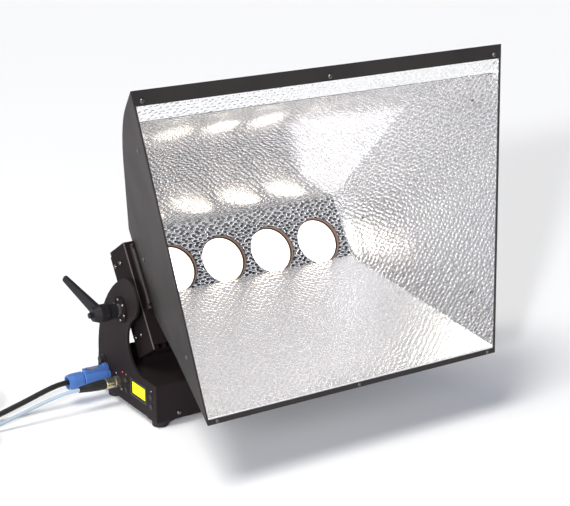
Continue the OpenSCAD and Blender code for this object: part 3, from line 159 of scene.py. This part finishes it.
# Hammered sheet, in cells: how far the pits wander, how round they are, and where a ridge starts and ends
WANDER = 0.5
ROUNDING = 0.15
SCATTER = 0.5
RIDGE_START = 0.28
RIDGE_END = 0.58
# Roughness that the duller patches of the sheet add
DULL_PATCH = 0.06


def sheet_space(tree, u_axis, v_axis, u_size, v_size):
    """Flat coordinates on a sheet, in cells whose rows are staggered along u and v."""
    place = add(tree, "ShaderNodeTexCoord")
    both = add(tree, "ShaderNodeCombineXYZ")
    for into, way in (("X", 1), ("Y", -1)):
        along = add(tree, "ShaderNodeVectorMath", operation="DOT_PRODUCT")
        link(tree, place, "Object", along, 0)
        along.inputs[1].default_value = [u / u_size + way * v / v_size for u, v in zip(u_axis, v_axis)]
        link(tree, along, "Value", both, into)
    return both


def hammered(name, u_axis, v_axis, low, tone, rough=0.15, depth=0.0008, cell=(0.0118, 0.0098)):
    """Bright aluminium sheet with flat pits in a network of rounded ridges, the pits painted darker as painted shade.
    """
    material, tree, shader = new_material(name)
    shader.inputs["Metallic"].default_value = 1.0
    space = sheet_space(tree, u_axis, v_axis, *cell)
    wander = noise(tree, space, 0.5, detail=2.0)
    shift = add(tree, "ShaderNodeVectorMath", operation="SCALE")
    shift.inputs["Scale"].default_value = WANDER
    link(tree, wander, "Color", shift, 0)
    moved = add(tree, "ShaderNodeVectorMath", operation="ADD")
    link(tree, space, "Vector", moved, 0)
    link(tree, shift, "Vector", moved, 1)
    cells = add(tree, "ShaderNodeTexVoronoi", voronoi_dimensions="2D", feature="SMOOTH_F1",
                Scale=1.0, Smoothness=ROUNDING, Randomness=SCATTER)
    link(tree, moved, "Vector", cells, "Vector")
    ridges = add(tree, "ShaderNodeMapRange", interpolation_type="SMOOTHSTEP")
    ridges.inputs["From Min"].default_value = RIDGE_START
    ridges.inputs["From Max"].default_value = RIDGE_END
    link(tree, cells, "Distance", ridges, "Value")
    bump(tree, shader, ridges, "Result", depth)
    # Painted shade: the pits take the darker colour low, the ridges the lighter tone
    colour = ramp(tree, ridges, "Result", [(0.0, low), (0.6, tone)])
    link(tree, colour, "Color", shader, "Base Color")
    patches = noise(tree, space, 0.06, detail=3.0)
    polish = ramp(tree, patches, "Fac", [(0.3, grey(rough + DULL_PATCH)), (0.7, grey(rough))])
    link(tree, polish, "Color", shader, "Roughness")
    return material


def painted(name, colour, rough=0.42, grain=1400.0, depth=0.00004, sheen_patch=0.06, gleam=0.3):
    """Satin paint with a fine orange peel and slight unevenness."""
    material, tree, shader = new_material(name)
    shader.inputs["Specular IOR Level"].default_value = gleam
    space = object_space(tree)
    peel = noise(tree, space, grain, detail=2.0)
    bump(tree, shader, peel, "Fac", depth)
    patches = noise(tree, space, 9.0, detail=4.0)
    tones = [(0.35, [c * 0.86 for c in colour]), (0.65, [min(1.0, c * 1.12) for c in colour])]
    tint = ramp(tree, patches, "Fac", tones)
    link(tree, tint, "Color", shader, "Base Color")
    gloss = ramp(tree, patches, "Fac", [(0.3, grey(rough + sheen_patch)), (0.7, grey(rough))])
    link(tree, gloss, "Color", shader, "Roughness")
    return material


def metal(name, colour, rough=0.28, scratches=500.0):
    """Plain metal with a faint, fine unevenness."""
    material, tree, shader = new_material(name)
    shader.inputs["Metallic"].default_value = 1.0
    space = object_space(tree)
    lines = noise(tree, space, scratches, detail=5.0)
    tones = [(0.3, [c * 0.85 for c in colour]), (0.7, colour)]
    tint = ramp(tree, lines, "Fac", tones)
    link(tree, tint, "Color", shader, "Base Color")
    gloss = ramp(tree, lines, "Fac", [(0.3, grey(rough + 0.1)), (0.7, grey(rough))])
    link(tree, gloss, "Color", shader, "Roughness")
    bump(tree, shader, lines, "Fac", 0.00002)
    return material


def moulded(name, colour, rough=0.45, grain=2500.0, depth=0.00005, gleam=0.4):
    """Moulded plastic or rubber with a fine spark-eroded texture."""
    return painted(name, colour, rough=rough, grain=grain, depth=depth, sheen_patch=0.1, gleam=gleam)


def ribbed(name, colour, pitch, rough=0.5):
    """Rubber with shallow ribs round a piece that lies along x."""
    material = moulded(name, colour, rough=rough)
    tree = material.node_tree
    shader = shader_of(material)
    fine = shader.inputs["Normal"].links[0].from_node
    space = object_space(tree)
    bands = add(tree, "ShaderNodeTexWave", wave_type="BANDS", bands_direction="X", Scale=1.0 / (20 * pitch))
    link(tree, space, "Vector", bands, "Vector")
    ribs = add(tree, "ShaderNodeBump", Strength=1.0, Distance=0.0004)
    link(tree, bands, "Fac", ribs, "Height")
    link(tree, fine, "Normal", ribs, "Normal")
    link(tree, ribs, "Normal", shader, "Normal")
    return material


def glowing(name, colour, strength, face=(1.0, 0.97, 0.92)):
    """A diffuser that glows, with a faint mottle."""
    material, tree, shader = new_material(name)
    shader.inputs["Base Color"].default_value = (*face, 1.0)
    shader.inputs["Roughness"].default_value = 0.35
    shader.inputs["Emission Strength"].default_value = strength
    space = object_space(tree)
    mottle = noise(tree, space, 30.0, detail=2.0)
    tint = ramp(tree, mottle, "Fac", [(0.3, [c * 0.97 for c in colour]), (0.7, colour)])
    link(tree, tint, "Color", shader, "Emission Color")
    return material


# The windows' spacing, and the share of a window's radius at which its glow starts to fade
WINDOW_PITCH = 0.099
GLOW_FULL_TO = 0.86


def lit_windows(name, discs, strength):
    """Four round diffusers in a row that glow white, and warmer and weaker at their rims."""
    material, tree, shader = new_material(name)
    shader.inputs["Base Color"].default_value = (0.9, 0.88, 0.84, 1.0)
    shader.inputs["Roughness"].default_value = 0.35
    middle = sum((Vector(corner) for corner in discs.bound_box), Vector()) / 8
    radius = (discs.dimensions.x - 3 * WINDOW_PITCH) / 2
    space = object_space(tree)
    parts = add(tree, "ShaderNodeSeparateXYZ")
    link(tree, space, "Vector", parts, "Vector")
    beside = add(tree, "ShaderNodeMath", operation="WRAP")
    beside.inputs[1].default_value = WINDOW_PITCH
    beside.inputs[2].default_value = 0.0
    link(tree, parts, "X", beside, 0)
    above = add(tree, "ShaderNodeVectorMath", operation="DOT_PRODUCT")
    above.inputs[1].default_value = HEAD_H
    link(tree, space, "Vector", above, 0)
    both = add(tree, "ShaderNodeCombineXYZ")
    link(tree, beside, "Value", both, "X")
    link(tree, above, "Value", both, "Y")
    from_middle = add(tree, "ShaderNodeVectorMath", operation="DISTANCE")
    from_middle.inputs[1].default_value = (WINDOW_PITCH / 2, middle.dot(Vector(HEAD_H)), 0.0)
    link(tree, both, "Vector", from_middle, 0)
    share = add(tree, "ShaderNodeMath", operation="DIVIDE")
    share.inputs[1].default_value = radius
    link(tree, from_middle, "Value", share, 0)
    fade = [(0.0, (1.0, 0.96, 0.90)), (GLOW_FULL_TO, (1.0, 0.95, 0.88)), (1.0, (0.22, 0.165, 0.105))]
    glow = ramp(tree, share, "Value", fade)
    link(tree, glow, "Color", shader, "Emission Color")
    shader.inputs["Emission Strength"].default_value = strength
    return material


def display_glass(name, low, high):
    """Lit yellow glass between two corners, given as (y, z), and black round it."""
    material, tree, shader = new_material(name)
    shader.inputs["Roughness"].default_value = 0.12
    shader.inputs["Specular IOR Level"].default_value = 0.15
    shader.inputs["Emission Strength"].default_value = 0.62
    space = object_space(tree)
    parts = add(tree, "ShaderNodeSeparateXYZ")
    link(tree, space, "Vector", parts, "Vector")
    inside = None
    for axis, a, b in (("Y", low[0], high[0]), ("Z", low[1], high[1])):
        for limit, test in ((a, "GREATER_THAN"), (b, "LESS_THAN")):
            step = add(tree, "ShaderNodeMath", operation=test)
            step.inputs[1].default_value = limit
            link(tree, parts, axis, step, 0)
            if inside is None:
                inside = step
                continue
            both = add(tree, "ShaderNodeMath", operation="MULTIPLY")
            link(tree, inside, "Value", both, 0)
            link(tree, step, "Value", both, 1)
            inside = both
    grain = noise(tree, space, 120.0, detail=3.0)
    lit = ramp(tree, grain, "Fac", [(0.3, (0.82, 0.78, 0.004)), (0.7, (0.9, 0.88, 0.008))])
    shade = mix(tree, inside, "Value")
    shade.inputs[MIX_A].default_value = (*grey(0.006), 1.0)
    link(tree, lit, "Color", shade, MIX_B)
    link(tree, shade, MIX_OUT, shader, "Base Color")
    link(tree, shade, MIX_OUT, shader, "Emission Color")
    return material


def painted_corner_highlight(material, plate, width=0.0015, highlight_colour=(0.13, 0.11, 0.105, 1.0)):
    """Painted highlight: a lighter colour along the corner between a head plate's outer and front faces, where the
    rounded edge catches light.
    """
    tree = material.node_tree
    shader = shader_of(material)
    paint = shader.inputs["Base Color"].links[0].from_node
    corners = [vertex.co for vertex in plate.data.vertices]
    front = max(corner.dot(Vector(HEAD_F)) for corner in corners)
    outer = max(abs(corner.x) for corner in corners)
    place = add(tree, "ShaderNodeTexCoord")
    forward = add(tree, "ShaderNodeVectorMath", operation="DOT_PRODUCT")
    forward.inputs[1].default_value = HEAD_F
    link(tree, place, "Object", forward, 0)
    parts = add(tree, "ShaderNodeSeparateXYZ")
    link(tree, place, "Object", parts, "Vector")
    aside = add(tree, "ShaderNodeMath", operation="ABSOLUTE")
    link(tree, parts, "X", aside, 0)
    both = add(tree, "ShaderNodeMath", operation="MULTIPLY")
    for into, (source, limit) in enumerate(((forward, front), (aside, outer))):
        step = add(tree, "ShaderNodeMath", operation="GREATER_THAN")
        step.inputs[1].default_value = limit - width
        link(tree, source, "Value", step, 0)
        link(tree, step, "Value", both, into)
    # Painted highlight where the piece lies within width of both its front face and its outer face
    shade = mix(tree, both, "Value")
    link(tree, paint, "Color", shade, MIX_A)
    shade.inputs[MIX_B].default_value = highlight_colour
    link(tree, shade, MIX_OUT, shader, "Base Color")
    return material


def anodised(name):
    """Black anodised aluminium."""
    return painted(name, (0.0115, 0.0078, 0.0078), rough=0.65, grain=900.0, gleam=0.08)


BLACK_PLASTIC = (0.013, 0.013, 0.014)
BLACK_RUBBER = (0.012, 0.011, 0.011)
RIB_PITCH = 0.0045
# The lit glass of the display, as (y, z) corners
DISPLAY_LOW = (0.0509, 0.0365)
DISPLAY_HIGH = (0.0969, 0.0575)

PALETTE = {
    "black_sheet": painted("black_sheet", (0.026, 0.022, 0.0205), rough=0.5, gleam=0.25),
    "base_sheet": painted("base_sheet", (0.0155, 0.0108, 0.0113), rough=0.6, gleam=0.12),
    # Painted light and shade: the reflector faces are one hammered sheet, each face's tones set lighter or darker,
    # the strip's pits darkest
    "hammered_reflector": hammered("hammered_reflector", ACROSS, HEAD_F, (0.74, 0.725, 0.715), (0.94, 0.93, 0.92),
                                   cell=(0.0104, 0.0086)),
    "strip_reflector": hammered("strip_reflector", ACROSS, HEAD_H, (0.37, 0.368, 0.365), (0.98, 0.965, 0.935),
                                depth=0.0009, cell=(0.0140, 0.0098)),
    "cast_black": anodised("cast_black"),
    "rim_gold": metal("rim_gold", (0.110, 0.072, 0.060), rough=0.35),
    "cup_reflector": metal("cup_reflector", (0.75, 0.72, 0.66), rough=0.4),
    "diffuser": lit_windows("diffuser", nodes["diffuser_discs"], 3.2),
    "display_yellow": display_glass("display_yellow", DISPLAY_LOW, DISPLAY_HIGH),
    "lamp_board": painted("lamp_board", (0.8, 0.8, 0.76), rough=0.5),
    "steel_screw": metal("steel_screw", (0.18, 0.165, 0.155), rough=0.24),
    "steel_bright": metal("steel_bright", (0.66, 0.66, 0.66), rough=0.25),
    "rubber_black": moulded("rubber_black", BLACK_RUBBER, rough=0.7),
    "friction": painted("friction", (0.04, 0.036, 0.033), rough=0.8),
    "plastic_black": moulded("plastic_black", BLACK_PLASTIC, rough=0.42),
    "button_black": moulded("button_black", (0.009, 0.0085, 0.009), rough=0.25, gleam=0.3),
    "lamp_red": glowing("lamp_red", (1.0, 0.03, 0.05), 0.55, face=(0.7, 0.03, 0.04)),
    "lamp_clear": painted("lamp_clear", (0.2, 0.2, 0.2), rough=0.2, gleam=0.6),
    "electronics": painted("electronics", (0.03, 0.16, 0.07), rough=0.5),
    "supply_case": metal("supply_case", (0.6, 0.61, 0.62), rough=0.45),
    "lever_black": moulded("lever_black", (0.011, 0.0095, 0.0115), rough=0.5, grain=1800.0, depth=0.0001, gleam=0.25),
    "lever_blue_black": moulded("lever_blue_black", (0.010, 0.010, 0.014), rough=0.45, gleam=0.25),
    "plug_blue": moulded("plug_blue", (0.065, 0.155, 0.42), rough=0.4),
    "nickel": metal("nickel", (0.72, 0.655, 0.54), rough=0.25),
    "cord_black": moulded("cord_black", BLACK_RUBBER, rough=0.42),
    "cord_grey": moulded("cord_grey", (0.40, 0.49, 0.56), rough=0.45),
}

# Finishes of single nodes, where the slot's own doesn't show what the photograph shows
# Painted light and shade: the reflector's sides in tones of their own
REFLECTOR_SIDE = hammered("reflector_side", HEAD_F, HEAD_H, (0.79, 0.785, 0.78), (0.93, 0.925, 0.92), depth=0.0005)
# Painted light: the hood's side panels are the black sheet painted lighter, and rougher, than elsewhere
HOOD_SIDE = painted("hood_side", (0.034, 0.029, 0.0275), rough=0.6, gleam=0.2)
# The end plates: black anodised, with a painted highlight along their front outer corner
END_PLATE = painted_corner_highlight(anodised("end_plate"), nodes["end_plate_left"])
OWN_FINISH = {
    "end_plate_left": END_PLATE,
    "end_plate_right": END_PLATE,
    "hood_side_left": HOOD_SIDE,
    "hood_side_right": HOOD_SIDE,
    # Painted light: the rails are painted lighter than the cast black they share with the head
    "hood_rails": painted("rail_black", (0.030, 0.022, 0.022), rough=0.45, gleam=0.3),
    # Painted light: the bottom and front reflector faces in lighter tones than the top
    "reflector_bottom": hammered("reflector_low", ACROSS, BACK, (0.88, 0.86, 0.845), (0.97, 0.955, 0.945),
                                 rough=0.2, depth=0.0003),
    "reflector_lip": hammered("reflector_front", ACROSS, UP, grey(0.88), grey(0.98), depth=0.0007),
    "reflector_left": REFLECTOR_SIDE,
    "reflector_right": REFLECTOR_SIDE,
    "data_plug_boot": ribbed("boot_black", BLACK_PLASTIC, RIB_PITCH),
}

for subpart in frame["record"]["subparts"]:
    name = subpart["node"]
    slots = nodes[name].data.materials
    slots.clear()
    slots.append(OWN_FINISH.get(name, PALETTE[subpart["material_slot"]]))


# Cords: the route's points are those of the CAD stretch, and the coils follow the same rule
def spline(points, steps):
    """A smooth curve through points, as a list with steps places between neighbours."""
    out = []
    last = len(points) - 1
    for i in range(last):
        p0, p1, p2, p3 = (points[min(max(k, 0), last)] for k in (i - 1, i, i + 1, i + 2))
        for s in range(steps):
            t = s / steps
            a = 2 * p1
            b = (p2 - p0) * t
            c = (2 * p0 - 5 * p1 + 4 * p2 - p3) * t * t
            d = (3 * p1 - p0 - 3 * p2 + p3) * t**3
            out.append((a + b + c + d) / 2)
    out.append(points[last])
    return out


# The coils, in millimetres: their ties' thickness, the seats' gap, and the room between turns
TIE_T = 1.2
SEAT = 0.3
TURN_GAP = 0.5
COIL_STEPS = 24


def coil_points(centre, outer, thick, turns, way, start):
    """Two layers of turns that wind in and then out again, climbing where they reverse."""
    out = []
    for i in range(turns * COIL_STEPS + 1):
        turn = i / COIL_STEPS
        climb = max(0.0, min(1.0, (turn - turns / 2) * 2 + 0.5))
        radius = outer - (thick + TURN_GAP) * min(turn, turns - turn)
        angle = math.radians(start + way * 360 * turn)
        x = centre[0] + radius * math.cos(angle)
        y = centre[1] + radius * math.sin(angle)
        out.append(Vector((x, y, thick / 2 + TIE_T + SEAT + (thick + TURN_GAP) * climb)))
    return out


def cord_curve(name, points, thick, material):
    """A round cord through points that are given in millimetres."""
    curve = bpy.data.curves.new(name, "CURVE")
    curve.dimensions = "3D"
    curve.bevel_depth = thick / 2 * MM
    curve.bevel_resolution = 5
    curve.use_fill_caps = True
    strand = curve.splines.new("POLY")
    strand.points.add(len(points) - 1)
    for point, place in zip(strand.points, points):
        point.co = (*(place * MM), 1.0)
    curve.materials.append(material)
    piece = bpy.data.objects.new(name, curve)
    scene.collection.objects.link(piece)
    return piece


# Both cords, in millimetres: thickness, where each leaves its plug, and its coil's middle, radius, thickness,
# turns, way and starting angle
LEAD_D = 9.5
DATA_D = 6.4
PLUG_END = Vector((-317.0, 187.4, 41.0))
BOOT_END = Vector((-320.0, 146.4, 41.0))
LEAD_COIL = ((-510.0, 249.4), 62.0, LEAD_D, 5, -1, -90)
DATA_COIL = ((-555.0, 99.7), 46.7, DATA_D, 5, 1, 90)

# The far plugs' faces and radii
MAINS_PLUG_X = -562.0
MAINS_PLUG_R = 18.4
FAR_PLUG_X = -622.0
FAR_PLUG_R = 9.5

lead_coil = coil_points(*LEAD_COIL)
data_coil = coil_points(*DATA_COIL)
lead_meets = lead_coil[0] + Vector((LEAD_D, 0, 0))
data_meets = data_coil[0] + Vector((DATA_D, 0, 0))
lead_end = Vector((MAINS_PLUG_X, lead_coil[-1].y, MAINS_PLUG_R))
data_end = Vector((FAR_PLUG_X, data_coil[-1].y, FAR_PLUG_R))

# The free stretches
LEAD_ROUTE = [(-332, 187.4, 41), (-346, 187, 39.6), (-362, 187, 36), (-378, 187, 31.6), (-396, 187, 26.4),
              (-414, 187, 21.4), (-432, 187, 16.6), (-450, 187, 12), (-466, 187, 8.6), (-482, 187.2, 6.6)]
DATA_ROUTE = [(-328, 146.4, 41), (-342, 146, 41), (-358, 146, 38.6), (-374, 146, 35.6), (-390, 146, 32),
              (-408, 146, 27.6), (-426, 146, 23), (-444, 146, 18.4), (-462, 146, 13.8), (-480, 146, 9.8),
              (-498, 146, 6.8), (-516, 146, 5.2), (-533, 146.2, 4.7)]

# How each tail leaves its coil's last point and comes up to its far plug
LEAD_OFF_COIL = Vector((-14, 0, -0.4))
LEAD_TO_PLUG = Vector((24, 0, -0.5))
DATA_OFF_COIL = [Vector((-16, 0, -0.2)), Vector((-34, 0, -1.3))]
DATA_TO_PLUG = Vector((16, 0, 0))

# Steps between neighbouring points of the free stretch, the coil and the tail
FREE_STEPS = 4
TURN_STEPS = 2
TAIL_STEPS = 3


def cord_line(free, coil, tail):
    """A cord's whole course: its free stretch, its coil and its tail."""
    return spline(free, FREE_STEPS) + spline(coil, TURN_STEPS) + spline(tail, TAIL_STEPS)


lead_free = [PLUG_END] + [Vector(p) for p in LEAD_ROUTE] + [lead_meets]
lead_tail = [lead_coil[-1] + LEAD_OFF_COIL, lead_end + LEAD_TO_PLUG, lead_end + Vector((LEAD_D, 0, 0)), lead_end]
lead_line = cord_line(lead_free, lead_coil, lead_tail)
power_cord = cord_curve("power_cord", lead_line, LEAD_D, PALETTE["cord_black"])
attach(power_cord, "base")
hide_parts("power_lead", "power_lead_coil")

data_free = [BOOT_END] + [Vector(p) for p in DATA_ROUTE] + [data_meets]
data_tail = [data_coil[-1] + step for step in DATA_OFF_COIL]
data_tail += [data_end + DATA_TO_PLUG, data_end + Vector((DATA_D, 0, 0)), data_end]
data_line = cord_line(data_free, data_coil, data_tail)
data_cord = cord_curve("data_cord", data_line, DATA_D, PALETTE["cord_grey"])
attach(data_cord, "base")
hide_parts("data_cable", "data_cable_coil")


# Rounded edges on the sheet and cast parts
def round_edges(name, width, segments=2):
    """A small bevel on a CAD node's sharp edges."""
    bevel = nodes[name].modifiers.new("edges", "BEVEL")
    bevel.width = width
    bevel.segments = segments
    bevel.limit_method = "ANGLE"
    bevel.angle_limit = math.radians(40)
    bevel.harden_normals = True


for sheet in ("end_plate_left", "end_plate_right"):
    round_edges(sheet, 0.0008)
for plate in ("side_plate_left", "side_plate_right"):
    round_edges(plate, 0.0005)


# Trim on the control panel, all on the side plate's outer face, in metres
PANEL_X = -0.243
PANEL_SEAT = 0.05 * MM
TRIM_CHAMFER = 0.3 * MM
PANEL_FRONT_Y = 0.01049
PANEL_MIDDLE_Y = PANEL_FRONT_Y + 0.0635
DISPLAY_AT = (PANEL_MIDDLE_Y, 0.047)
BEZEL_OUTER = (0.0295, 0.0165)
BEZEL_INNER = (0.0244, 0.0119)
BEZEL_CORNER = 0.002
BEZEL_PROUD = 0.0007
BUTTON_ASIDE = 0.045
BUTTON_ROWS = (0.051, 0.0345)
BUTTONS_AT = [(PANEL_MIDDLE_Y + side * BUTTON_ASIDE, z) for side in (-1, 1) for z in BUTTON_ROWS]
RING_OUTER = 0.0064
RING_INNER = 0.0056
RING_PROUD = 0.0006


def panel_piece(name, slot):
    """An empty piece on the panel, given by its mesh."""
    mesh = bpy.data.meshes.new(name)
    piece = bpy.data.objects.new(name, mesh)
    scene.collection.objects.link(piece)
    mesh.materials.append(PALETTE[slot])
    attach(piece, "base")
    return mesh


def loft(shape, rings):
    """Quads between closed rings of points, each ring given as a list of places."""
    rows = [[shape.verts.new(place) for place in ring] for ring in rings]
    count = len(rows[0])
    for low, high in zip(rows, rows[1:] + rows[:1]):
        for k in range(count):
            shape.faces.new((low[k], low[(k + 1) % count], high[(k + 1) % count], high[k]))


def frame_ring(y, z, half_w, half_h, radius, x, corner=5):
    """A rounded rectangle on the panel, as points."""
    places = []
    for turn, (sy, sz) in enumerate(((1, 1), (-1, 1), (-1, -1), (1, -1))):
        for step in range(corner + 1):
            angle = math.radians(90 * turn + 90 * step / corner)
            py = y + sy * (half_w - radius) + radius * math.cos(angle)
            pz = z + sz * (half_h - radius) + radius * math.sin(angle)
            places.append(Vector((x, py, pz)))
    return places


def panel_frame(name, slot, sites, outer, inner, radius, proud):
    """A thin raised frame round each site, with a chamfered outer edge."""
    mesh = panel_piece(name, slot)
    shape = bmesh.new()
    edge = TRIM_CHAMFER
    low, high = PANEL_X + PANEL_SEAT, PANEL_X - proud
    inner_radius = max(radius - outer[0] + inner[0], TRIM_CHAMFER)
    for y, z in sites:
        loft(shape, [
            frame_ring(y, z, *outer, radius, low),
            frame_ring(y, z, *outer, radius, high + edge),
            frame_ring(y, z, outer[0] - edge, outer[1] - edge, radius - edge, high),
            frame_ring(y, z, *inner, inner_radius, high),
            frame_ring(y, z, *inner, inner_radius, low),
        ])
    bmesh.ops.recalc_face_normals(shape, faces=shape.faces)
    shape.to_mesh(mesh)
    shape.free()


panel_frame("display_bezel", "button_black", [DISPLAY_AT], BEZEL_OUTER, BEZEL_INNER, BEZEL_CORNER, BEZEL_PROUD)
panel_frame("button_rings", "button_black", BUTTONS_AT, (RING_OUTER, RING_OUTER), (RING_INNER, RING_INNER),
            RING_OUTER, RING_PROUD)

# Floor, world and lights
FLOOR_HALF = 14.0
FLOOR_DROP = 0.0002
FLOOR_GREY = 0.8
FLOOR_WHITE = 0.99


def floor_material():
    """White floor that shows as white to the camera and keeps its shadows."""
    material, tree, shader = new_material("floor")
    shader.inputs["Roughness"].default_value = 0.9
    shader.inputs["Specular IOR Level"].default_value = 0.1
    path = add(tree, "ShaderNodeLightPath")
    seen = add(tree, "ShaderNodeMath", operation="MAXIMUM")
    link(tree, path, "Is Camera Ray", seen, 0)
    link(tree, path, "Is Glossy Ray", seen, 1)
    colour = mix(tree, seen, "Value")
    colour.inputs[MIX_A].default_value = (*grey(FLOOR_GREY), 1.0)
    colour.inputs[MIX_B].default_value = (*grey(FLOOR_WHITE), 1.0)
    link(tree, colour, MIX_OUT, shader, "Base Color")
    return material


floor_mesh = bpy.data.meshes.new("floor")
shape = bmesh.new()
bmesh.ops.create_grid(shape, x_segments=1, y_segments=1, size=FLOOR_HALF)
shape.to_mesh(floor_mesh)
shape.free()
floor_mesh.materials.append(floor_material())
floor = bpy.data.objects.new("floor", floor_mesh)
floor.location.z = -FLOOR_DROP
scene.collection.objects.link(floor)


def studio_world():
    """Pale walls up to a low height and a dim, bluish ceiling, and plain white to the camera."""
    world = bpy.data.worlds.new("studio")
    world.use_nodes = True
    tree = world.node_tree
    place = add(tree, "ShaderNodeTexCoord")
    parts = add(tree, "ShaderNodeSeparateXYZ")
    link(tree, place, "Generated", parts, "Vector")
    walls = ramp(tree, parts, "Z", [(0.30, (0.56, 0.58, 0.64)), (0.50, (0.052, 0.064, 0.102))])
    path = add(tree, "ShaderNodeLightPath")
    tone = mix(tree, path, "Is Camera Ray")
    link(tree, walls, "Color", tone, MIX_A)
    tone.inputs[MIX_B].default_value = (*grey(1.0), 1.0)
    sky = tree.nodes["Background"]
    link(tree, tone, MIX_OUT, sky, "Color")
    sky.inputs["Strength"].default_value = 1.0
    scene.world = world


studio_world()


def aim(lamp, place, target):
    lamp.location = place
    lamp.rotation_euler = (Vector(target) - Vector(place)).to_track_quat("-Z", "Y").to_euler()
    scene.collection.objects.link(lamp)


def soft_box(name, place, target, size, power, colour=(1.0, 1.0, 1.0)):
    data = bpy.data.lights.new(name, "AREA")
    data.shape = "RECTANGLE"
    data.size = size[0]
    data.size_y = size[1]
    data.energy = power
    data.color = colour
    aim(bpy.data.objects.new(name, data), place, target)


def sun(name, place, energy, angle, colour):
    data = bpy.data.lights.new(name, "SUN")
    data.energy = energy
    data.angle = math.radians(angle)
    data.color = colour
    aim(bpy.data.objects.new(name, data), place, (0.0, 0.0, 0.0))


WARM = (1.0, 0.98, 0.93)
HOOD_MIDDLE = (0.0, 0.0, 0.3)
sun("overhead", (-1.38, -0.12, 3.0), 1.6, 26.0, WARM)
sun("overhead_rear", (-0.45, 0.48, 3.0), 0.6, 20.0, WARM)
sun("low_left", (-2.16, -1.91, 0.827), 2.1, 4.0, (0.94, 0.95, 1.0))
soft_box("left_rear", (-2.7, 1.2, 0.8), HOOD_MIDDLE, (1.2, 1.2), 14.0)
soft_box("left_front", (-2.19, -1.83, 1.23), HOOD_MIDDLE, (1.1, 0.9), 24.0, (0.94, 0.96, 1.0))
